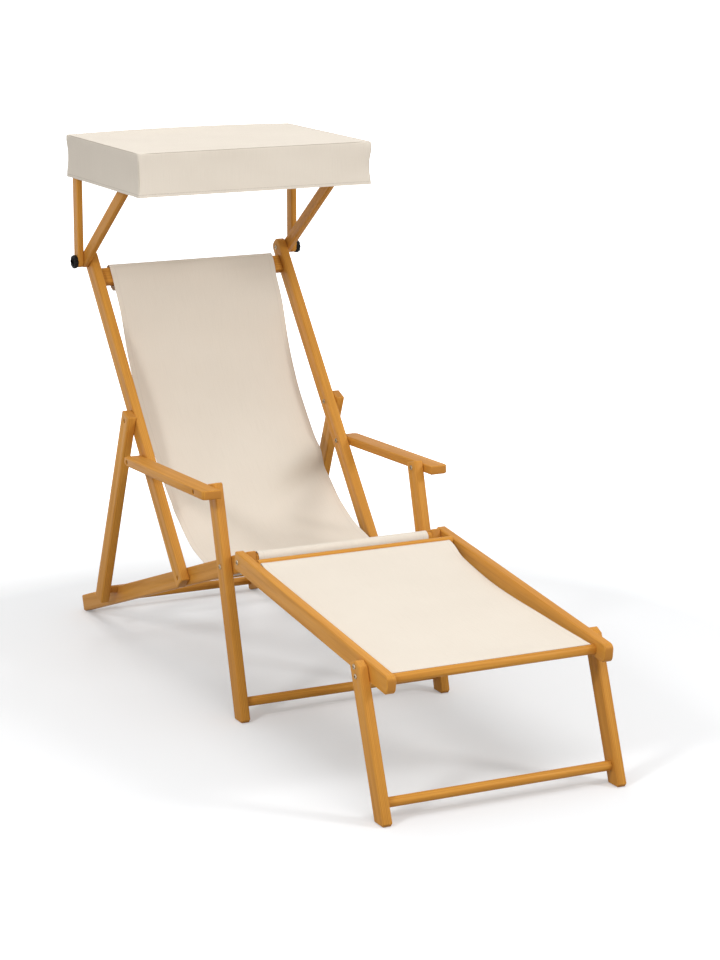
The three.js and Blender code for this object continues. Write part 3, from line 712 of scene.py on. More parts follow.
@dataclass
class TimberWork:
    """Every timber member: the CAD shape with its arrises rounded over and its own grain.

    Attributes:
        arris: Radius that the sanded edges are rounded to.
        steps: Segments of that rounding.
        sharp_degrees: Edges sharper than this are sanded.
        head_round: Radius of the props' upper rear corner.
        bore_reach: Radius within which a screw hole's wall lies.
        weld: Points of the CAD mesh closer than this are one.
        flat_degrees: Faces of the CAD mesh that meet at less than this are one flat.
        dowel_sides: Flats round a dowel.
        rim_degrees: Edges of a dowel sharper than this are its rims.
        timber: The timber's finish.
    """

    arris: float = 0.0011
    steps: int = 2
    sharp_degrees: float = 28
    head_round: float = 0.011
    bore_reach: float = 0.005
    weld: float = 1e-5
    flat_degrees: float = 1.5
    dowel_sides: int = 40
    rim_degrees: float = 60
    timber: OiledTimber = OiledTimber()

    def round_head(self, shape: bmesh.types.BMesh, pivot: Vector, degrees: float) -> None:
        """Cuts a strut's upper rear corner to a round.

        Args:
            shape: The strut's mesh.
            pivot: The centre of the strut's pivot.
            degrees: The strut's angle in the side view.
        """
        line = SideLine(pivot, degrees)
        along = line.at(1.0) - line.at(0.0)
        across = line.at(0.0, -1.0) - line.at(0.0)
        end = max((vert.co - pivot).dot(along) for vert in shape.verts)
        side = max((vert.co - pivot).dot(across) for vert in shape.verts)
        centre = pivot + along * (end - self.head_round) + across * (side - self.head_round)
        # Flat cuts, one every 12 degrees of the round corner
        for turn in range(9, 90, 12):
            away = along * math.cos(math.radians(turn)) + across * math.sin(math.radians(turn))
            bmesh.ops.bisect_plane(
                shape,
                geom=shape.verts[:] + shape.edges[:] + shape.faces[:],
                dist=WELD,
                plane_co=centre + away * self.head_round,
                plane_no=away,
                clear_outer=True,
            )
            fill_holes(shape)

    def close_bores(self, shape: bmesh.types.BMesh, screws: list[Vector]) -> None:
        """Closes the holes of hidden screws.

        Args:
            shape: The board's mesh.
            screws: A point on each screw's axis.
        """

        def in_bore(face: bmesh.types.BMFace, screw: Vector) -> bool:
            """Returns whether a face lies on the wall of a screw's hole."""
            return all((vert.co - screw).yz.length < self.bore_reach for vert in face.verts)

        walls = [face for face in shape.faces if any(in_bore(face, screw) for screw in screws)]
        bmesh.ops.delete(shape, geom=walls, context="FACES_ONLY")
        fill_holes(shape)

    def rounded(self, node: str) -> bmesh.types.BMesh:
        """Returns a merged copy of a CAD node with its arrises rounded over.

        Args:
            node: The CAD node's name.

        Returns:
            The rounded mesh.
        """
        shape = bmesh.new()
        shape.from_mesh(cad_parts[node].data)
        bmesh.ops.remove_doubles(shape, verts=shape.verts, dist=self.weld)
        bmesh.ops.dissolve_limit(
            shape,
            angle_limit=math.radians(self.flat_degrees),
            verts=shape.verts,
            edges=shape.edges,
        )
        if node.startswith("prop_strut"):
            pivot = node_centre("prop_pivot_bolt_left")
            middle = Vector((node_centre(node).x, pivot.y, pivot.z))
            self.round_head(shape, middle, line_through("prop_dowel", "prop_pivot_bolt_left").degrees)
        if node.startswith("footrest_rail"):
            screws = ("footrest_leg_screw_upper_left", "footrest_leg_screw_lower_left")
            self.close_bores(shape, [node_centre(screw) for screw in screws])
        sharp = [
            edge for edge in shape.edges
            if edge.is_manifold and edge.calc_face_angle(0.0) > math.radians(self.sharp_degrees)
        ]
        round_edges(shape, sharp, self.arris, self.steps, clamped=True)
        bmesh.ops.triangulate(shape, faces=[face for face in shape.faces if len(face.verts) > 4])
        return shape

    def member(self, node: str, body: str, degrees: float, axis: Axis, seed: float) -> None:
        """Makes one timber member.

        Args:
            node: The CAD node that it stands for.
            body: The body that it rides on.
            degrees: Angle of its grain in the side view.
            axis: Whether it runs in the side view or across.
            seed: Shifts its grain.
        """
        finish = self.timber.material("timber_" + node, degrees, axis, seed)
        shape = self.rounded(node)
        finish_piece(
            node + "_timber", shape, body, finish, (node,), crease_degrees=30.0
        )

    def build(self) -> None:
        """Makes all members."""
        back = line_through("back_pivot_bolt_left", "canopy_bolt_left").degrees
        seat = line_through("footrest_pivot_bolt_left", "back_pivot_bolt_left").degrees
        leg = line_through("leg_pivot_bolt_left", "armrest_front_bolt_left").degrees
        prop = line_through("prop_dowel", "prop_pivot_bolt_left").degrees
        arm = line_through("armrest_front_bolt_left", "armrest_rear_bolt_left").degrees
        foot = line_through("footrest_front_dowel", "footrest_pivot_bolt_left").degrees
        foot_leg = line_through("footrest_leg_dowel", "footrest_leg_screw_upper_left").degrees
        slant = line_through("canopy_front_bar", "canopy_bolt_left").degrees
        runs = {
            "seat_rail": ("seat_frame", seat),
            "back_rail": ("back_frame", back),
            "prop_strut": ("prop", prop),
            "armrest": ("armrest_arm", arm),
            "front_leg": ("front_legs", leg),
            "footrest_rail": ("footrest", foot),
            "footrest_leg": ("footrest", foot_leg),
            "canopy_front_arm": ("canopy", slant),
            "canopy_rear_arm": ("canopy", 90.0),
        }
        for count, (stem, (body, degrees)) in enumerate(runs.items()):
            for side, sign in SIDES:
                home = f"{body}_{side}" if body == "armrest_arm" else body
                self.member(f"{stem}_{side}", home, degrees, Axis.SIDE, count * 0.37 + sign * 0.11)
        bars = {
            "rear_cross_dowel": "seat_frame",
            "front_sling_bar": "seat_frame",
            "top_cross_rail": "back_frame",
            "prop_dowel": "prop",
            "front_leg_dowel": "front_legs",
            "footrest_front_dowel": "footrest",
            "footrest_rear_dowel": "footrest",
            "footrest_leg_dowel": "footrest",
            "canopy_front_bar": "canopy",
            "canopy_rear_bar": "canopy",
        }
        for count, (node, body) in enumerate(bars.items()):
            if node == "top_cross_rail":
                self.member(node, body, 0.0, Axis.ACROSS, 0.7)
            else:
                self.dowel(node, body, count * 0.43)

    def dowel(self, node: str, body: str, seed: float) -> None:
        """Makes a round bar across the lounger.

        Args:
            node: The CAD node that it stands for.
            body: The body that it rides on.
            seed: Shifts its grain.
        """
        low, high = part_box(node)
        centre = (low + high) / 2
        radius = (high.z - low.z) / 2
        shape = bmesh.new()
        bmesh.ops.create_cone(
            shape,
            cap_ends=True,
            segments=self.dowel_sides,
            radius1=radius,
            radius2=radius,
            depth=high.x - low.x,
            matrix=Matrix.Translation(centre) @ Matrix.Rotation(math.radians(90), 4, "Y"),
        )
        limit = math.radians(self.rim_degrees)
        rims = [edge for edge in shape.edges if edge.calc_face_angle(0.0) > limit]
        round_edges(shape, rims, self.arris, self.steps)
        finish = self.timber.material("timber_" + node, 0.0, Axis.ACROSS, seed)
        finish_piece(
            node + "_timber", shape, body, finish, (node,), crease_degrees=35.0
        )


class End(Enum):
    """How an end of a fastener is finished."""

    DOME = "domed head"
    SLEEVE = "sunk sleeve nut"
    FLAT = "plain end"


@dataclass
class Fasteners:
    """Bolts, nuts and screws with drive sockets.

    Attributes:
        shank_radius: Radius of a shank.
        head_radius: Radius of a domed head.
        head_height: Height of a domed head.
        socket_radius: Radius of a socket's mouth.
        socket_depth: Depth of a socket.
        sleeve_radius: Radius of a sleeve nut.
        sleeve_length: Length of a sleeve nut.
        sleeve_edge: Width of the bevel round a sleeve nut's face.
        sleeve_socket_radius: Radius of the mouth of a sleeve nut's socket.
        sleeve_socket_depth: Depth of a sleeve nut's socket.
        turn_steps: Flats round a fastener.
        steel: The fasteners' finish.
    """

    shank_radius: float = 0.003
    head_radius: float = 0.0056
    head_height: float = 0.0024
    socket_radius: float = 0.0026
    socket_depth: float = 0.0030
    sleeve_radius: float = 0.005
    sleeve_length: float = 0.006
    sleeve_edge: float = 0.0004
    sleeve_socket_radius: float = 0.0035
    sleeve_socket_depth: float = 0.0056
    turn_steps: int = 24
    steel: PlatedSteel = PlatedSteel()

    def turned(
        self,
        profile: list[tuple[float, float]],
        centre: Vector,
        sign: float,
    ) -> bmesh.types.BMesh:
        """Spins a profile of (radius, x) round a line along X.

        Args:
            profile: Points from one end of the axis to the other, for the right-hand side.
            centre: A point on the axis. Its x is left out.
            sign: The side, 1 or -1.

        Returns:
            The turned mesh.
        """
        shape = bmesh.new()
        verts = [shape.verts.new((x * sign, 0.0, radius)) for radius, x in profile]
        edges = [shape.edges.new(pair) for pair in zip(verts, verts[1:])]
        bmesh.ops.spin(
            shape,
            geom=verts + edges,
            cent=(0, 0, 0),
            axis=(1, 0, 0),
            angle=math.tau,
            steps=self.turn_steps,
            use_merge=True,
        )
        bmesh.ops.remove_doubles(shape, verts=shape.verts, dist=WELD)
        bmesh.ops.recalc_face_normals(shape, faces=shape.faces)
        bmesh.ops.translate(shape, verts=shape.verts, vec=Vector((0.0, centre.y, centre.z)))
        return shape

    def socket(self, face: float, direction: float) -> list[tuple[float, float]]:
        """Returns the profile of a drive socket in a head.

        Args:
            face: X of the head's flat.
            direction: 1 where the flat faces outwards, -1 inwards.

        Returns:
            Points from the axis to the socket's rim.
        """
        floor = face - direction * self.socket_depth
        return [(0.0, floor), (self.socket_radius * 0.9, floor), (self.socket_radius, face)]

    def sleeve(self, outer: float) -> list[tuple[float, float]]:
        """Returns the profile of a sunk sleeve nut with its drive socket.

        Args:
            outer: X of the nut's outer face.

        Returns:
            Points from the shank to the axis.
        """
        floor = outer - self.sleeve_socket_depth
        return [
            (self.shank_radius, outer - self.sleeve_length),
            (self.sleeve_radius, outer - self.sleeve_length),
            (self.sleeve_radius, outer - self.sleeve_edge),
            (self.sleeve_radius - self.sleeve_edge, outer),
            (self.sleeve_socket_radius, outer),
            (self.sleeve_socket_radius * 0.92, floor),
            (0.0, floor),
        ]

    def dome(self, face: float, direction: float) -> list[tuple[float, float]]:
        """Returns the profile of a domed head that stands on a face.

        Args:
            face: X of the surface under the head.
            direction: 1 where the head faces outwards, -1 inwards.

        Returns:
            Points from the axis to the head's rim.
        """
        rise = direction * self.head_height
        curve = [
            (self.head_radius * math.cos(t), face + rise * (0.3 + 0.7 * math.sin(t)))
            for t in (math.radians(d) for d in (62, 45, 28, 12, 0))
        ]
        flat = self.socket(face + rise - rise * 0.05, direction)
        return [*flat, *curve, (self.head_radius, face)]

    def inner_end(self, face: float, kind: End) -> list[tuple[float, float]]:
        """Returns the profile of a fastener's end that faces the sitter.

        Args:
            face: X of the end.
            kind: How it is finished.

        Returns:
            Points from the axis to the shank.
        """
        if kind is End.DOME:
            return self.dome(face + self.head_height, -1)
        return [(0.0, face), (self.shank_radius, face)]

    def outer_end(self, face: float, kind: End) -> list[tuple[float, float]]:
        """Returns the profile of a fastener's end at the lounger's side.

        Args:
            face: X of the end.
            kind: How it is finished.

        Returns:
            Points from the shank to the axis.
        """
        if kind is End.DOME:
            return self.dome(face - self.head_height, 1)[::-1]
        if kind is End.SLEEVE:
            return self.sleeve(face)
        return [(self.shank_radius, face), (0.0, face)]

    def build(self) -> None:
        """Makes every bolt, nut and screw."""
        kinds = {
            "back_pivot_bolt": ("seat_frame", End.DOME, End.SLEEVE),
            "leg_pivot_bolt": ("seat_frame", End.DOME, End.DOME),
            "footrest_pivot_bolt": ("seat_frame", End.FLAT, End.DOME),
            "prop_pivot_bolt": ("back_frame", End.DOME, End.SLEEVE),
            "armrest_rear_bolt": ("back_frame", End.DOME, End.SLEEVE),
            "canopy_bolt": ("back_frame", End.DOME, End.FLAT),
            "armrest_front_bolt": ("armrest_arm", End.FLAT, End.SLEEVE),
            "front_leg_nut": ("front_legs", End.DOME, End.FLAT),
            "footrest_leg_screw_upper": ("footrest", End.FLAT, End.DOME),
            "footrest_leg_screw_lower": ("footrest", End.FLAT, End.DOME),
        }
        finish = self.steel.material("plated_steel")
        for stem, (body, inside, outside) in kinds.items():
            for side, sign in SIDES:
                home = f"{body}_{side}" if body == "armrest_arm" else body
                node = f"{stem}_{side}"
                shape = self.between_ends(node, sign, inside, outside)
                finish_piece(
                    node + "_steel",
                    shape,
                    home,
                    finish,
                    (node,),
                    crease_degrees=32.0,
                )

    def between_ends(self, node: str, sign: float, inside: End, outside: End) -> bmesh.types.BMesh:
        """Makes one fastener's mesh between its CAD node's ends.

        Args:
            node: The CAD node that it stands for.
            sign: The side, 1 or -1.
            inside: How the end that faces the sitter is finished.
            outside: How the other end is finished.

        Returns:
            The fastener's mesh.
        """
        low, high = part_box(node)
        inner, outer = sorted((abs(low.x), abs(high.x)))
        start = self.inner_end(inner, inside)
        profile = [*start, (self.shank_radius, start[-1][1]), *self.outer_end(outer, outside)]
        return self.turned(profile, node_centre(node), sign)


@dataclass
class ClampKnobs:
    """The black star knobs that clamp the canopy.

    Attributes:
        lobes: Number of finger lobes round the rim.
        lobe_depth: How deep the hollows between the lobes are, as a share of the radius.
        eased: How much smaller the moulding is than its CAD disc.
        sides: Flats round the rim.
        steps: Rise, as a share of the thickness, and draw-in of each step of the rim.
        plastic: The knobs' finish.
    """

    lobes: int = 8
    lobe_depth: float = 0.11
    eased: float = 0.001
    sides: int = 96
    steps: tuple[tuple[float, float], ...] = (
        (0.2, -0.0006),
        (0.4, 0.0),
        (0.2, 0.0009),
        (0.12, 0.0026),
        (0.0, 0.003),
        (-0.08, 0.0006),
    )
    plastic: MouldedPlastic = MouldedPlastic()

    def build(self) -> None:
        """Makes both knobs."""
        finish = self.plastic.material("moulded_plastic")
        for side, sign in SIDES:
            node = f"knob_{side}"
            shape = self.moulding(node, sign)
            finish_piece(
                node + "_moulding",
                shape,
                "canopy_" + node,
                finish,
                (node,),
                crease_degrees=50.0,
            )

    def moulding(self, node: str, sign: float) -> bmesh.types.BMesh:
        """Makes one knob's mesh.

        Args:
            node: The CAD node that it stands for.
            sign: The side, 1 or -1.

        Returns:
            The knob's mesh.
        """
        low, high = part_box(node)
        centre = (low + high) / 2
        inner, outer = sorted((abs(low.x), abs(high.x)))
        radius = (high.z - low.z) / 2 - self.eased
        thickness = outer - inner
        shape = bmesh.new()
        made = bmesh.ops.create_circle(shape, cap_ends=True, segments=self.sides, radius=radius)
        self._flute(made["verts"], radius)
        face = shape.faces[:][0]
        for rise, pull in self.steps:
            if rise:
                grown = bmesh.ops.extrude_face_region(shape, geom=[face])
                face = next(item for item in grown["geom"] if isinstance(item, bmesh.types.BMFace))
                bmesh.ops.translate(shape, verts=face.verts, vec=Vector((0, 0, thickness * rise)))
            reach = max(vert.co.xy.length for vert in face.verts)
            share = 1 - pull / reach
            bmesh.ops.scale(shape, verts=face.verts, vec=Vector((share, share, 1)))
        bmesh.ops.poke(shape, faces=[face])
        bmesh.ops.recalc_face_normals(shape, faces=shape.faces)
        turn = Matrix.Rotation(math.radians(90 * sign), 4, "Y")
        bmesh.ops.transform(
            shape,
            verts=shape.verts,
            matrix=Matrix.Translation(Vector((sign * inner, centre.y, centre.z))) @ turn,
        )
        return shape

    def _flute(self, verts: list[bmesh.types.BMVert], radius: float) -> None:
        """Draws a circle's points in between the lobes.

        Args:
            verts: The circle's points.
            radius: The radius over the lobes.
        """
        for vert in verts:
            angle = math.atan2(vert.co.y, vert.co.x)
            share = 1 - self.lobe_depth * (0.5 - 0.5 * math.cos(self.lobes * angle)) ** 2
            vert.co.xy *= share * radius / vert.co.xy.length


class ClothLine:
    """A smooth line in the side view that a cloth follows, measured along its length."""

    def __init__(self, points: list[Vector], samples: int) -> None:
        """Threads a smooth curve through points.

        Args:
            points: Points in the side view, in order.
            samples: How many steps the curve is measured in.
        """
        self.places = [self._spline(points, i / samples) for i in range(samples + 1)]
        self.lengths = [0.0]
        for a, b in zip(self.places, self.places[1:]):
            self.lengths.append(self.lengths[-1] + (b - a).length)
        self.total = self.lengths[-1]

    @staticmethod
    def _spline(points: list[Vector], share: float) -> Vector:
        """Returns a point of the centripetal Catmull-Rom curve through points.

        Args:
            points: Points in the side view, in order.
            share: Place on the curve, from 0 at its first point to 1 at its last.

        Returns:
            The point.
        """
        spans = len(points) - 1
        index = min(int(share * spans), spans - 1)
        t = share * spans - index
        b, c = points[index], points[index + 1]
        a = points[index - 1] if index else b * 2 - c
        d = points[index + 2] if index + 2 < len(points) else c * 2 - b
        knots = [0.0]
        for p, q in ((a, b), (b, c), (c, d)):
            knots.append(knots[-1] + max((q - p).length, WELD) ** 0.5)
        u = knots[1] + (knots[2] - knots[1]) * t

        def blend(p: Vector, q: Vector, low: float, high: float) -> Vector:
            """Returns the point between p and q at u."""
            return p * ((high - u) / (high - low)) + q * ((u - low) / (high - low))

        ab = blend(a, b, knots[0], knots[1])
        bc = blend(b, c, knots[1], knots[2])
        cd = blend(c, d, knots[2], knots[3])
        early = blend(ab, bc, knots[0], knots[2])
        late = blend(bc, cd, knots[1], knots[3])
        return blend(early, late, knots[1], knots[2])

    def at(self, distance: float) -> Vector:
        """Returns the point at a distance along the line.

        Args:
            distance: The distance from the line's start.

        Returns:
            The point.
        """
        low, high = 0, len(self.lengths) - 1
        while high - low > 1:
            middle = (low + high) // 2
            low, high = (middle, high) if self.lengths[middle] <= distance else (low, middle)
        span = self.lengths[high] - self.lengths[low]
        return self.places[low].lerp(self.places[high], (distance - self.lengths[low]) / span)

    def normal(self, distance: float) -> Vector:
        """Returns the line's left-hand normal at a distance along it.

        Args:
            distance: The distance from the line's start.

        Returns:
            The normal, with a length of 1.
        """
        step = self.total * 0.002
        ahead = self.at(min(distance + step, self.total))
        behind = self.at(max(distance - step, 0.0))
        direction = (ahead - behind).normalized()
        return Vector((0.0, -direction.z, direction.y))


@dataclass
class HungCloth:
    """A strip of canvas that follows a line in the side view.

    Attributes:
        half_width: Half the strip's width.
        thickness: The canvas's thickness.
        columns: Faces across the strip.
        rows: Faces along the strip.
        hem: Width of the turned-over hem along its edges.
        hem_rise: How much thicker the hem is.
        hem_step: Share of the width over which the hem rises.
        canvas: The cloth's finish.
    """

    half_width: float
    thickness: float = 0.0011
    columns: int = 64
    rows: int = 200
    hem: float = 0.012
    hem_rise: float = 0.0002
    hem_step: float = 0.003
    canvas: Canvas = Canvas(stitch=0.14)

    def hem_at(self, across: float) -> float:
        """Returns how far the hem stands off the line, negative towards the sitter."""
        limit = 1 - self.hem / self.half_width
        return -self.hem_rise * smoothstep(limit - self.hem_step, limit, abs(across))

    def strip(
        self,
        line: ClothLine,
        shape_at: Callable[[float, float], tuple[float, float]],
        painted_shade_at: Callable[[float, float], float] = lambda across, share: 0.0,
    ) -> bmesh.types.BMesh:
        """Lays a grid along a line, with its UV map in metres of cloth.

        Args:
            line: The line that the strip's middle follows.
            shape_at: Function of (place across from -1 to 1, share along) that returns how far
                the cloth stands off the line, along its normal, and how far it is drawn in
                towards the middle.
            painted_shade_at: Function of (place across, share along) that returns how much painted
                shade a point gets in the cloth's folds, from 0 to 1.

        Returns:
            The strip's mesh.
        """
        shape = bmesh.new()
        bmesh.ops.create_grid(
            shape, x_segments=self.columns, y_segments=self.rows, size=1.0, calc_uvs=False
        )
        layer = shape.loops.layers.uv.new("cloth")
        for face in shape.faces:
            for loop in face.loops:
                u, v = loop.vert.co.x, loop.vert.co.y
                loop[layer].uv = (u * self.half_width, (v + 1) / 2 * line.total)
        # Painted shade: each point keeps how much its fold darkens the canvas
        depth = shape.verts.layers.float.new("painted_crease_shade")
        for vert in shape.verts:
            across, share = vert.co.x, (vert.co.y + 1) / 2
            vert[depth] = painted_shade_at(across, share)
            off, draw = shape_at(across, share)
            distance = share * line.total
            place = line.at(distance) + line.normal(distance) * off
            inwards = draw if across > 0 else -draw
            vert.co = Vector((across * self.half_width - inwards, place.y, place.z))
        for face in shape.faces:
            face.normal_flip()
        return shape

    def sewn(
        self,
        name: str,
        shape: bmesh.types.BMesh,
        body: str,
        node: str,
        seams: tuple[tuple[str, float], ...] = (),
    ) -> bpy.types.Object:
        """Finishes the strip with its hems' stitches and its thickness.

        Args:
            name: The piece's name.
            shape: Its mesh. It is freed.
            body: The CAD body that it rides on.
            node: The CAD node that it stands for.
            seams: UV axis and place of each line of stitches besides those of the hems.

        Returns:
            The piece's object.
        """
        edge = self.half_width - self.hem
        finish = self.canvas.material(name, (("X", edge), ("X", -edge), *seams))
        piece = finish_piece(name, shape, body, finish, (node,), crease_degrees=80.0)
        thicken(piece, self.thickness)
        return piece


@dataclass(frozen=True)
class Fold:
    """A fold that runs across the sling, as a shape or as a band of painted shade.

    Attributes:
        place: Where it crosses the sling's middle, as a share of the sling's length.
        slant: How far along the sling it moves from there to the right-hand edge.
        width: Half its width, as a share of the sling's length.
        depth: How far the cloth moves in it in metres, or how dark its painted shade is.
        flare: How much wider it is at the right-hand edge.
    """

    place: float
    slant: float
    width: float
    depth: float
    flare: float = 0.0

    def step(self, across: float, share: float) -> float:
        """Returns how many of its widths a point lies beyond the fold."""
        return (share - self.place - self.slant * across) / (self.width + self.flare * across)

    def wave(self, across: float, share: float) -> float:
        """Returns how far a point hangs back beyond the fold, negative before it."""
        step = self.step(across, share)
        return self.depth * step * bell(step)

    def shade(self, across: float, share: float) -> float:
        """Returns how dark the fold's painted shade is at a point."""
        return self.depth * bell(self.step(across, share))


@dataclass
class BackSling(HungCloth):
    """The seat and back sling, sewn round the top rail and the front bar.

    Attributes:
        rail_half_width: Half the top rail's width, along the back.
        rail_half_thickness: Half the top rail's thickness.
        sleeve_top: Room between the top rail's upper edge and the sleeve.
        sleeve_front: Room between the top rail's face and the sleeve.
        sleeve_rear: Room between the top rail's rear and the sleeve.
        bar_wrap: Room between the front bar and the middle of the cloth round it.
        rail_half_depth: Half the seat rail's depth.
        back_course: Distances along and in front of the back rail's middle.
        seat_course: Distances from the front pivot along the seat rail and above its lower edge.
        top_seam: Where the top sleeve's seam lies, as a share of the length.
        bar_seam: How far the front sleeve's seam lies from the sling's end.
        hollow: How far the middle hangs behind the edges.
        curl: How far the back's right-hand edge curls back.
        taut: How far the right hip is drawn forward.
        bag: How far the seat's left-hand edge sags.
        soft: Height of the cloth's broad unevenness.
        soft_lean: How much more of that the right-hand edge has.
        fine: Height of the cloth's fine unevenness.
        roll: How far the front sleeve stands off its line.
        waist: How far the free cloth is drawn in.
        front_draw: How far the right-hand edge is drawn in near the front bar.
        top_draw: How far the right-hand edge is let out at the top sleeve.
        hip: The deep fold from the right hip.
        left: The small fold at the left hip.
        hip_shade: The painted shade in the deep fold.
        low_shade: The faint painted shade in the seat's right half.
        left_shade: The painted shade in the small fold.
        bar_shade: The painted shade just behind the front bar.
    """

    half_width: float = 0.2105
    rail_half_width: float = 0.0205
    rail_half_thickness: float = 0.010
    sleeve_top: float = 0.0068
    sleeve_front: float = 0.0036
    sleeve_rear: float = 0.0012
    bar_wrap: float = 0.0024
    rail_half_depth: float = 0.02
    back_course: tuple[tuple[float, float], ...] = (
        (0.6930, -0.0032),
        (0.5955, -0.0328),
        (0.4910, -0.0468),
        (0.3970, -0.0468),
        (0.3141, -0.0400),
        (0.2390, -0.0324),
        (0.1605, -0.0168),
        (0.0768, 0.0144),
    )
    seat_course: tuple[tuple[float, float], ...] = (
        (0.3038, 0.0528),
        (0.2642, 0.0288),
        (0.2285, 0.0136),
        (0.1928, 0.0068),
        (0.1535, 0.0064),
        (0.1035, 0.0136),
        (0.0500, 0.0248),
    )
    top_seam: float = 0.072
    bar_seam: float = 0.082
    hollow: float = 0.004
    curl: float = 0.007
    taut: float = 0.003
    bag: float = 0.006
    soft: float = 0.0026
    soft_lean: float = 0.0009
    fine: float = 0.0008
    roll: float = 0.0012
    waist: float = 0.0012
    front_draw: float = 0.009
    top_draw: float = 0.004
    hip: Fold = Fold(0.556, -0.072, 0.018, 0.0095)
    left: Fold = Fold(0.526, -0.03, 0.011, 0.0022)
    hip_shade: Fold = Fold(0.556, -0.072, 0.017, 1.0, 0.006)
    low_shade: Fold = Fold(0.585, 0.088, 0.012, 0.22)
    left_shade: Fold = Fold(0.526, -0.03, 0.008, 0.16)
    bar_shade: Fold = Fold(0.905, 0.0, 0.02, 0.14)

    def course(self) -> ClothLine:
        """Lays the sling's line.

        Returns:
            The line, from the seam behind the top rail to the seam at the front bar.
        """
        pivot = node_centre("back_pivot_bolt_left")
        front = node_centre("footrest_pivot_bolt_left")
        back = line_through("back_pivot_bolt_left", "canopy_bolt_left")
        seat = SideLine(front, line_through("footrest_pivot_bolt_left", "back_pivot_bolt_left").degrees)
        rail = node_centre("top_cross_rail")
        along = (rail - pivot).dot(back.at(1.0) - back.at(0.0))
        middle = (rail - pivot).dot(back.at(0.0, 1.0) - back.at(0.0))
        top = self.rail_half_width + self.sleeve_top
        front_face = self.rail_half_thickness + self.sleeve_front
        rear_face = self.rail_half_thickness + self.sleeve_rear
        low = self.rail_half_width
        round_rail = [
            (-low - 0.016, -rear_face * 0.3),
            (-low - 0.005, -rear_face * 0.92),
            (-low + 0.006, -rear_face),
            (0.0, -rear_face),
            (low * 0.8, -rear_face),
            (top - 0.004, -rear_face * 0.86),
            (top - 0.0008, -rear_face * 0.45),
            (top, 0.0),
            (top - 0.0004, front_face * 0.6),
            (top - 0.0028, front_face * 0.93),
            (top - 0.010, front_face),
            (0.0, front_face),
            (-low * 0.6, front_face * 0.97),
            (-low - 0.012, front_face * 0.8),
        ]
        points = [back.at(along + u, middle + v) for u, v in round_rail]
        points += [back.at(u, v) for u, v in self.back_course]
        points += [seat.at(u, v - self.rail_half_depth) for u, v in self.seat_course]
        bar = node_centre("front_sling_bar")
        low_corner, high_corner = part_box("front_sling_bar")
        radius = (high_corner.z - low_corner.z) / 2 + self.bar_wrap
        points += [
            bar + Vector((0, math.cos(turn), math.sin(turn))) * radius
            for turn in (math.radians(degrees) for degrees in (82, 108, 140, 175, 210, 245, 280, 312))
        ]
        points.append(seat.at(0.022, -0.0035))
        return ClothLine([Vector((0, point.y, point.z)) for point in points], 1200)

    def hang(self, across: float, share: float) -> tuple[float, float]:
        """Returns how far one point of the sling hangs off its line and is drawn in.

        Args:
            across: Place across the sling, from -1 at the left to 1 at the right.
            share: Place along the sling, as a share of its length.

        Returns:
            The distance away from the sitter, and the distance towards the middle.
        """
        free = plateau(share, (0.1, 0.22), (0.84, 0.93))
        right, left = max(0.0, across), max(0.0, -across)
        uneven = noise.noise(Vector((across * 1.3, share * 5.0, 3.7)))
        ripple = noise.noise(Vector((across * 4.1, share * 17.0, 9.1)))
        off = self.hollow * free * (1 - across * across)
        off += self.curl * plateau(share, (0.2, 0.34), (0.56, 0.68)) * right**14
        off += self.hip.wave(across, share) * smoothstep(0.0, 0.8, across)
        off += self.left.wave(across, share) * smoothstep(0.55, 0.9, -across)
        off -= self.taut * plateau(share, (0.56, 0.62), (0.68, 0.76)) * right**4
        off += self.bag * plateau(share, (0.58, 0.7), (0.84, 0.92)) * left**4
        off += (self.soft + self.soft_lean * across) * uneven * free
        off += self.fine * ripple * free
        off -= self.roll * smoothstep(0.93, 0.945, share)
        draw = self.waist * free * math.sin(math.pi * share)
        if across > 0:
            draw += self.front_draw * smoothstep(0.82, 0.93, share)
            draw -= self.top_draw * (1 - smoothstep(0.07, 0.12, share))
        return off + self.hem_at(across), draw

    def painted_crease_shade(self, across: float, share: float) -> float:
        """Returns how much painted shade one point of the sling gets in its folds.

        Args:
            across: Place across the sling, from -1 at the left to 1 at the right.
            share: Place along the sling, as a share of its length.

        Returns:
            The painted shade, from 0 to 1.
        """
        # Painted shade in the hip fold, the seat's right half, the small left fold and behind the front
        # bar
        hip = self.hip_shade.shade(across, share) * smoothstep(-0.05, 0.95, across) ** 1.6
        low = self.low_shade.shade(across, share) * plateau(across, (0.2, 0.5), (0.7, 0.95))
        left = self.left_shade.shade(across, share) * smoothstep(0.55, 0.9, -across)
        return min(1.0, hip + low + left + self.bar_shade.shade(across, share))

    def build(self) -> None:
        """Makes the sling."""
        line = self.course()
        shape = self.strip(line, self.hang, self.painted_crease_shade)
        seams = (("Y", line.total * self.top_seam), ("Y", line.total - self.bar_seam))
        piece = self.sewn("sling_canvas", shape, "", "sling", seams)
        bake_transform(piece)
        LOG.info("sling cut %.3f by %.3f m", self.half_width * 2, line.total)


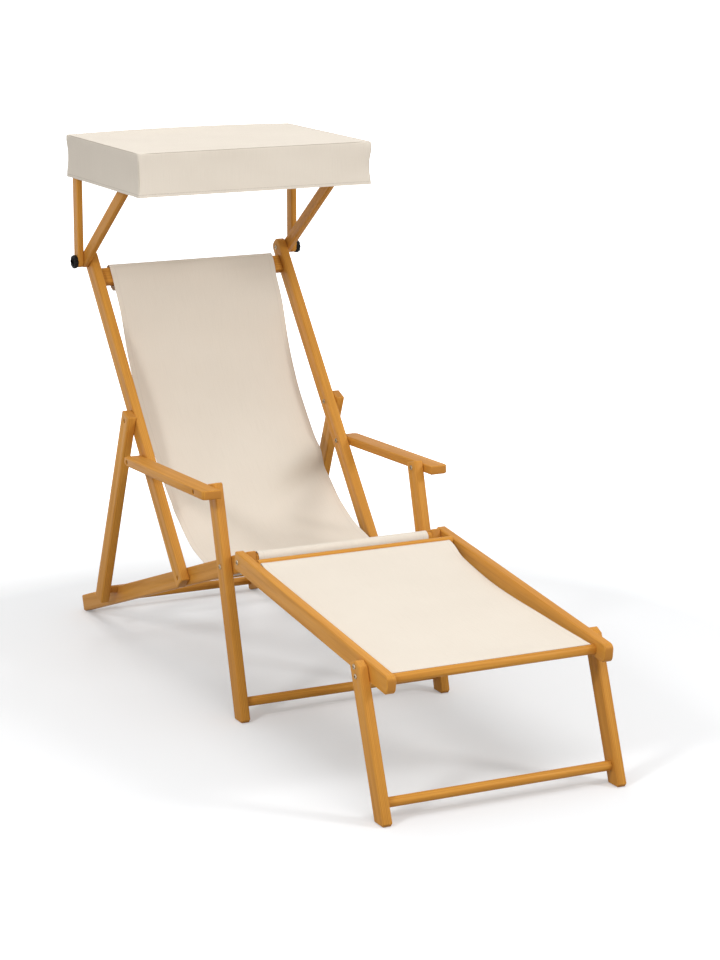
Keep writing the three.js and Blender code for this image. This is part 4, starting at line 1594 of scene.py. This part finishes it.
@dataclass
class FootrestCloth(HungCloth):
    """The footrest's canvas between its two dowels.

    Attributes:
        sag: How far the canvas hangs below a straight line.
        lift: Room between a dowel and the middle of the canvas round it.
        hollow: How far the middle hangs behind the edges.
        slack: How far the right-hand edge hangs near the rear dowel.
        soft: Height of the cloth's unevenness.
        left_reach: How far the left-hand edge is let out.
        left_waist: How much less of that its free length has.
        right_waist: How far the right-hand edge is drawn in.
        right_corner: How far the right-hand rear corner is drawn in.
    """

    half_width: float = 0.226
    rows: int = 120
    sag: float = 0.0115
    lift: float = 0.0009
    hollow: float = 0.003
    slack: float = 0.010
    soft: float = 0.002
    left_reach: float = 0.0072
    left_waist: float = 0.001
    right_waist: float = 0.006
    right_corner: float = 0.005

    def build(self) -> None:
        """Makes the footrest's canvas."""
        line = self.course()
        shape = self.strip(line, self.hang)
        piece = self.sewn("footrest_canvas", shape, "footrest", "footrest_cloth")
        LOG.info("footrest canvas cut %.3f by %.3f m", self.half_width * 2, line.total)

    def course(self) -> ClothLine:
        """Lays the canvas's line.

        Returns:
            The line, from under the rear dowel to the top of the front dowel.
        """
        front, rear = node_centre("footrest_front_dowel"), node_centre("footrest_rear_dowel")
        around_front, around_rear = self._radius("front") + self.lift, self._radius("rear") + self.lift
        points = [
            rear + Vector((0, math.cos(turn), math.sin(turn))) * around_rear
            for turn in (math.radians(degrees) for degrees in (-40, -75, -110, -145, 178, 158))
        ]
        span = front - rear
        up = Vector((0, span.z, -span.y)).normalized()
        points += [
            rear + span * share + up * self._height(share, around_rear, around_front)
            for share in (0.06, 0.14, 0.26, 0.4, 0.55, 0.7, 0.82, 0.91, 0.965)
        ]
        points += [
            front + Vector((0, math.cos(turn), math.sin(turn))) * around_front
            for turn in (math.radians(degrees) for degrees in (76, 92, 106))
        ]
        return ClothLine([Vector((0, point.y, point.z)) for point in points], 900)

    @staticmethod
    def _radius(place: str) -> float:
        """Returns the radius of the front or rear dowel."""
        low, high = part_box(f"footrest_{place}_dowel")
        return (high.z - low.z) / 2

    def _height(self, share: float, rear: float, front: float) -> float:
        """Returns the canvas's height over the line between the dowels' centres."""
        hold = rear * 0.4 + (front * 0.95 - rear * 0.4) * share
        return hold - self.sag * 4 * share * (1 - share)

    def hang(self, across: float, share: float) -> tuple[float, float]:
        """Returns how far one point of the canvas hangs off its line and is drawn in.

        Args:
            across: Place across the canvas, from -1 at the left to 1 at the right.
            share: Place along the canvas, as a share of its length.

        Returns:
            The distance downwards, and the distance towards the middle.
        """
        free = plateau(share, (0.05, 0.16), (0.9, 0.98))
        uneven = noise.noise(Vector((across * 1.5, share * 4.0, 21.3)))
        off = self.hollow * free * (1 - across * across)
        off += self.slack * free * max(0.0, across) ** 6 * (1 - smoothstep(0.3, 0.8, share))
        off += self.soft * uneven * free
        if across > 0:
            corner = (1 - smoothstep(0.03, 0.09, share)) * smoothstep(0.94, 1.0, across)
            draw = self.right_waist * free * math.sin(math.pi * share) + self.right_corner * corner
        else:
            draw = self.left_waist * free - self.left_reach
        return off + self.hem_at(across), draw * smoothstep(0.0, 0.6, abs(across))


@dataclass
class CanopyCover:
    """The canopy's box-shaped cover with piped edges.

    Attributes:
        thickness: The canvas's thickness.
        corner: Radius of the upright corners.
        rim: Radius of the roof's edge.
        piping: Radius of the piping.
        piping_inset: Share of the roof's edge radius that the piping lies inside it.
        cuts: How many parts the cover is divided into on each axis.
        hem: Height of the hem round its lower edge.
        sag: How far the roof hangs in the middle.
        ripple: How uneven that hang is.
        rear_rise: How far the roof's rear edge stands up in its middle.
        wall_wave: How uneven the walls are.
        wall_hollow: How far the walls draw in.
        corner_fill: How far the upright corners are pushed out.
        corner_swell: How far they wave from there.
        canvas: The cover's finish.
        welt: The piping's finish.
    """

    thickness: float = 0.0011
    corner: float = 0.006
    rim: float = 0.0025
    piping: float = 0.0008
    piping_inset: float = 0.3
    cuts: tuple[int, int, int] = (36, 28, 8)
    hem: float = 0.0065
    sag: float = 0.004
    ripple: float = 0.002
    rear_rise: float = 0.0045
    wall_wave: float = 0.0022
    wall_hollow: float = 0.0016
    corner_fill: float = 0.0018
    corner_swell: float = 0.0029
    canvas: Canvas = Canvas(stitch=0.38)
    welt: Canvas = Canvas(colour=(0.6, 0.53, 0.44), shade=(0.42, 0.36, 0.29), pitch=0.0009)

    def build(self) -> None:
        """Makes the cover and its piping."""
        low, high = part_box("canopy_cover")
        size = high - low
        centre = (high + low) / 2
        shape = bmesh.new()
        box = Matrix.Translation(centre) @ Matrix.Diagonal((*size, 1.0))
        bmesh.ops.create_cube(shape, size=1.0, matrix=box)
        floor = [face for face in shape.faces if face.normal.z < -0.5]
        bmesh.ops.delete(shape, geom=floor, context="FACES_ONLY")
        upright = [
            edge for edge in shape.edges
            if abs(edge.verts[0].co.z - edge.verts[1].co.z) > size.z / 2
        ]
        round_edges(shape, upright, self.corner, 6)
        rim = [
            edge for edge in shape.edges
            if all(abs(vert.co.z - high.z) < WELD for vert in edge.verts) and edge.is_manifold
        ]
        round_edges(shape, rim, self.rim, 3)
        self._cut(shape, low, high)
        for vert in shape.verts:
            vert.co += self._slack(vert.co, low, high)
        bmesh.ops.recalc_face_normals(shape, faces=shape.faces)
        layer = shape.loops.layers.uv.new("cloth")
        for face in shape.faces:
            for loop in face.loops:
                loop[layer].uv = self._cloth_place(face.normal, loop.vert.co)
        finish = self.canvas.material("canopy_canvas", (("Y", low.z + self.hem),))
        piece = finish_piece(
            "canopy_canvas",
            shape,
            "canopy",
            finish,
            ("canopy_cover",),
            crease_degrees=60.0,
        )
        thicken(piece, self.thickness, -1.0)
        self._pipe(low, high)

    def _cut(self, shape: bmesh.types.BMesh, low: Vector, high: Vector) -> None:
        """Divides the cover evenly, so that it can sag and pucker.

        Args:
            shape: The cover's mesh.
            low: The box's low corner.
            high: The box's high corner.
        """
        for axis, count in enumerate(self.cuts):
            for step in range(1, count):
                place = Vector((0, 0, 0))
                place[axis] = low[axis] + (high[axis] - low[axis]) * step / count
                normal = Vector((0, 0, 0))
                normal[axis] = 1.0
                bmesh.ops.bisect_plane(
                    shape,
                    geom=shape.verts[:] + shape.edges[:] + shape.faces[:],
                    dist=WELD,
                    plane_co=place,
                    plane_no=normal,
                )

    def _slack(self, place: Vector, low: Vector, high: Vector) -> Vector:
        """Returns how far a point of the cover hangs from its taut place.

        Args:
            place: The point's taut place.
            low: The box's low corner.
            high: The box's high corner.

        Returns:
            The way from there to where it hangs.
        """
        size = high - low
        centre = (high + low) / 2
        across = (place.x - centre.x) / (size.x / 2)
        along = (place.y - centre.y) / (size.y / 2)
        height = (place.z - low.z) / size.z
        roof = smoothstep(0.97, 0.999, height)
        inside = (1 - abs(across) ** 3) * (1 - abs(along) ** 4)
        ripple = noise.noise(Vector((across * 2.3, along * 1.9, 5.2)))
        fall = -(self.sag + self.ripple * ripple) * inside * roof
        fall += self.rear_rise * roof * smoothstep(0.75, 1.0, along) * (1 - across * across)
        wave = noise.noise(Vector((across * 3.1 + 8.0, along * 2.7, height * 1.3)))
        middle = math.sin(math.pi * min(height, 0.98)) * (1 - roof)
        push = middle * (self.wall_wave * wave - self.wall_hollow)
        corner = smoothstep(0.86, 1.0, abs(across)) * smoothstep(0.86, 1.0, abs(along))
        swell = self.corner_swell * math.cos(math.tau * min(1.0, height / 0.88)) * (0.4 + 0.6 * height)
        swell *= 1 - 0.9 * smoothstep(0.9, 1.0, height)
        # The front left corner is nearly straight, and the right-hand ones wave most
        lively = min(1.0, 0.1 + 0.5 * (along > 0) + 0.75 * (across > 0))
        push += corner * (swell * lively + self.corner_fill)
        side = smoothstep(0.94, 0.999, abs(across)) * math.copysign(1, across)
        face = smoothstep(0.93, 0.999, abs(along)) * math.copysign(1, along)
        return Vector((side * push, face * push, fall))

    @staticmethod
    def _cloth_place(normal: Vector, place: Vector, roof_shift: float = 4.0) -> tuple[float, float]:
        """Returns a point's place on the cloth in metres, seen square to its panel.

        Args:
            normal: The panel's normal.
            place: The point.
            roof_shift: How far the roof's map lies from the walls', clear of their stitches.

        Returns:
            The place on the UV map.
        """
        if abs(normal.z) > 0.6:
            return (place.x, place.y + roof_shift)
        if abs(normal.x) > abs(normal.y):
            return (place.y, place.z)
        return (place.x, place.z)

    def _roof_run(self, low: Vector, high: Vector, steps: int = 6) -> list[Vector]:
        """Returns the run of the piping round the roof.

        Args:
            low: The box's low corner.
            high: The box's high corner.
            steps: Steps round each corner.

        Returns:
            Points of the closed run.
        """
        centre = (high + low) / 2
        half = (high - low) / 2
        inset = self.rim * self.piping_inset
        run = []
        for sx, sy, start in ((1, -1, -90), (1, 1, 0), (-1, 1, 90), (-1, -1, 180)):
            x = centre.x + sx * (half.x - self.corner)
            y = centre.y + sy * (half.y - self.corner)
            middle = Vector((x, y, high.z - inset))
            for step in range(steps + 1):
                angle = math.radians(start + step * 90 / steps)
                out = Vector((math.cos(angle), math.sin(angle), 0))
                run.append(middle + out * (self.corner - inset))
        return run

    def _corner_run(self, low: Vector, high: Vector, sx: int, sy: int, steps: int = 8) -> list[Vector]:
        """Returns the run of the piping down one upright corner.

        Args:
            low: The box's low corner.
            high: The box's high corner.
            sx: The corner's side across, 1 or -1.
            sy: The corner's side along, 1 or -1.
            steps: Steps of the run.

        Returns:
            Points of the run, from its foot.
        """
        centre = (high + low) / 2
        half = (high - low) / 2
        out = self.corner * (1 - math.sqrt(0.5)) + 0.0002
        x = centre.x + sx * (half.x - out)
        y = centre.y + sy * (half.y - out)
        foot, length = low.z + 0.001, high.z - low.z - 0.004
        run = [Vector((x, y, foot + length * step / steps)) for step in range(steps + 1)]
        return [point + self._slack(point, low, high) * 0.7 for point in run]

    def _pipe(self, low: Vector, high: Vector) -> None:
        """Sews piping round the roof's edge and down the upright corners.

        Args:
            low: The box's low corner.
            high: The box's high corner.
        """
        runs = [(self._roof_run(low, high), True)]
        runs += [(self._corner_run(low, high, sx, sy), False) for sx in (-1, 1) for sy in (-1, 1)]
        finish = self.welt.material("piping_canvas")
        for count, (points, closed) in enumerate(runs):
            self._welt(f"canopy_piping_{count}", points, closed, finish)

    def _welt(self, name: str, points: list[Vector], closed: bool, finish: bpy.types.Material) -> None:
        """Makes one run of piping as a round cord of canvas.

        Args:
            name: The piece's name.
            points: The run's points.
            closed: Whether its ends meet.
            finish: Its material.
        """
        curve = bpy.data.curves.new(name, "CURVE")
        curve.dimensions = "3D"
        curve.bevel_depth = self.piping
        curve.bevel_resolution = 2
        curve.use_fill_caps = True
        spline = curve.splines.new("POLY")
        spline.points.add(len(points) - 1)
        for target, point in zip(spline.points, points):
            target.co = (*point, 1.0)
        spline.use_cyclic_u = closed
        holder = bpy.data.objects.new(name, curve)
        bpy.context.scene.collection.objects.link(holder)
        bpy.context.view_layer.update()
        graph = bpy.context.evaluated_depsgraph_get()
        mesh = bpy.data.meshes.new_from_object(holder.evaluated_get(graph))
        bpy.data.objects.remove(holder)
        shape = bmesh.new()
        shape.from_mesh(mesh)
        bpy.data.meshes.remove(mesh)
        bmesh.ops.recalc_face_normals(shape, faces=shape.faces)
        layer = shape.loops.layers.uv.get("cloth") or shape.loops.layers.uv.new("cloth")
        for face in shape.faces:
            for loop in face.loops:
                loop[layer].uv = (loop.vert.co.x + loop.vert.co.y, loop.vert.co.z)
        finish_piece(name, shape, "canopy", finish, crease_degrees=60.0)


@dataclass(frozen=True)
class Lamp:
    """A square soft lamp that points at the lounger.

    Attributes:
        name: The lamp's name.
        azimuth: Its bearing in degrees, 0 in front of the lounger and 90 at its right-hand side.
        elevation: Its height above the horizon in degrees.
        distance: Its distance from the lounger.
        size: Length of its side.
        power: Its power in watts.
        aim: The point that it shines at.
    """

    name: str
    azimuth: float
    elevation: float
    distance: float
    size: float
    power: float
    aim: tuple[float, float, float] = (0.0, -0.1, 0.5)

    def build(self) -> None:
        """Hangs the lamp."""
        light = bpy.data.lights.new(self.name, "AREA")
        light.shape = "SQUARE"
        light.size = self.size
        light.energy = self.power
        holder = bpy.data.objects.new(self.name, light)
        away = bearing(self.azimuth, self.elevation)
        holder.location = Vector(self.aim) + away * self.distance
        holder.rotation_mode = "QUATERNION"
        holder.rotation_quaternion = (-away).to_track_quat("-Z", "Y")
        bpy.context.scene.collection.objects.link(holder)


@dataclass
class Studio:
    """The plain pale floor, the soft lamps and the camera.

    Attributes:
        target: The point that the camera looks at.
        azimuth: The camera's bearing in degrees, 0 in front of the lounger.
        elevation: The camera's height above the horizon in degrees.
        distance: The camera's distance from the target.
        lens: Focal length in millimetres on a 36 mm sensor.
        shift: The lens's shift.
        sky: Strength of the even light from all round.
        sky_colour: Colour of that light.
        floor_half: Half the floor's side.
        floor_drop: How far the floor lies below the lounger's feet.
        floor_glow: Light that the camera sees in the floor's shadows.
        glow_reach: Distances at which the floor starts to whiten and is wholly white.
        floor_albedo: The floor's reflectance to the camera.
        floor_tint: The floor's share of that in each colour.
        floor_bounce: The floor's reflectance to the lounger.
        lamps: The soft lamps.
    """

    target: tuple[float, float, float] = (0.0, -0.20667, 0.54455)
    azimuth: float = -26.352
    elevation: float = 12.957
    distance: float = 6.1437
    lens: float = 106.88
    shift: tuple[float, float] = (0.00083, -0.00646)
    sky: float = 0.52
    sky_colour: Colour = (1.0, 0.995, 0.985)
    floor_half: float = 60.0
    floor_drop: float = 0.0004
    floor_glow: float = 0.2
    glow_reach: tuple[float, float] = (1.1, 2.4)
    floor_albedo: float = 0.76
    floor_tint: Colour = (0.985, 1.0, 1.02)
    floor_bounce: float = 0.43
    lamps: tuple[Lamp, ...] = (
        Lamp("left", -62.0, 31.0, 5.0, 0.8, 67.0),
        Lamp("front_high", -12.0, 50.0, 5.0, 2.2, 21.0),
        Lamp("front_low", -8.0, 20.0, 5.0, 2.4, 20.0),
        Lamp("right", 43.0, 29.0, 5.0, 0.9, 63.0),
        Lamp("top", 0.0, 88.0, 5.0, 3.2, 44.0),
        Lamp("back", 175.0, 55.0, 5.0, 3.0, 40.0),
    )

    def build(self) -> None:
        """Sets up the floor, world, lamps and camera."""
        self._floor()
        self._world()
        for lamp in self.lamps:
            lamp.build()
        self._camera()
        bpy.context.scene.view_settings.view_transform = "Standard"

    def _floor(self) -> None:
        """Lays the floor, white to the camera but still taking shadow."""
        shape = bmesh.new()
        bmesh.ops.create_grid(shape, x_segments=2, y_segments=2, size=self.floor_half)
        bmesh.ops.translate(shape, verts=shape.verts, vec=Vector((0, 0, -self.floor_drop)))
        mesh = bpy.data.meshes.new("studio_floor")
        shape.to_mesh(mesh)
        shape.free()
        floor = bpy.data.objects.new("studio_floor", mesh)
        bpy.context.scene.collection.objects.link(floor)
        tree = Finish("studio_floor")
        tree.set_values(Roughness=0.9, Specular_IOR_Level=0.0)
        reach = tree.node("VectorMath", operation="LENGTH")
        tree.link(tree.node("TexCoord"), "Object", reach, 0)
        far = tree.ramp((reach, "Value"), *self.glow_reach)
        bright = tree.math("ADD", (far, 0), self.floor_glow)
        rays = tree.direct_rays()
        seen = tuple(self.floor_albedo * share for share in self.floor_tint)
        paint = tree.mix((rays, 0), (self.floor_bounce,) * 3, seen)
        tree.link(paint, 2, tree.shader, "Base Color")
        glow = tree.node("Emission")
        tree.link(tree.math("MULTIPLY", (rays, 0), (bright, 0)), 0, glow, "Strength")
        both = tree.node("AddShader")
        tree.link(tree.shader, "BSDF", both, 0)
        tree.link(glow, "Emission", both, 1)
        tree.link(both, "Shader", tree.output, "Surface")
        mesh.materials.append(tree.material)

    def _world(self) -> None:
        """Lights the studio evenly, with a white background."""
        world = bpy.data.worlds.new("studio")
        bpy.context.scene.world = world
        world.use_nodes = True
        tree = NodeTree(world.node_tree)
        light = tree.node("Background", Color=(*self.sky_colour, 1.0), Strength=self.sky)
        white = tree.node("Background", Color=(1.0, 1.0, 1.0, 1.0), Strength=1.0)
        mix = tree.node("MixShader")
        tree.link(tree.direct_rays(), 0, mix, 0)
        tree.link(light, "Background", mix, 1)
        tree.link(white, "Background", mix, 2)
        tree.link(mix, "Shader", tree.node("OutputWorld"), "Surface")

    def _camera(self) -> None:
        """Places the camera at the photograph's viewing angle."""
        data = bpy.data.cameras.new("camera")
        data.sensor_width = 36.0
        data.sensor_fit = "AUTO"
        data.lens = self.lens
        data.shift_x, data.shift_y = self.shift
        data.clip_start, data.clip_end = 0.1, 200.0
        camera = bpy.data.objects.new("camera", data)
        back = bearing(self.azimuth, self.elevation)
        camera.location = Vector(self.target) + back * self.distance
        camera.rotation_mode = "QUATERNION"
        camera.rotation_quaternion = (-back).to_track_quat("-Z", "Y")
        bpy.context.scene.collection.objects.link(camera)
        bpy.context.scene.camera = camera


def main() -> None:
    """Builds every sub-assembly in order."""
    logging.basicConfig(level=logging.INFO, format="%(message)s")
    Studio().build()
    for part in (TimberWork(), Fasteners(), ClampKnobs(), BackSling(), FootrestCloth(), CanopyCover()):
        LOG.info("building %s", type(part).__name__)
        part.build()
    bpy.context.view_layer.update()


if __name__ == "__main__":
    main()
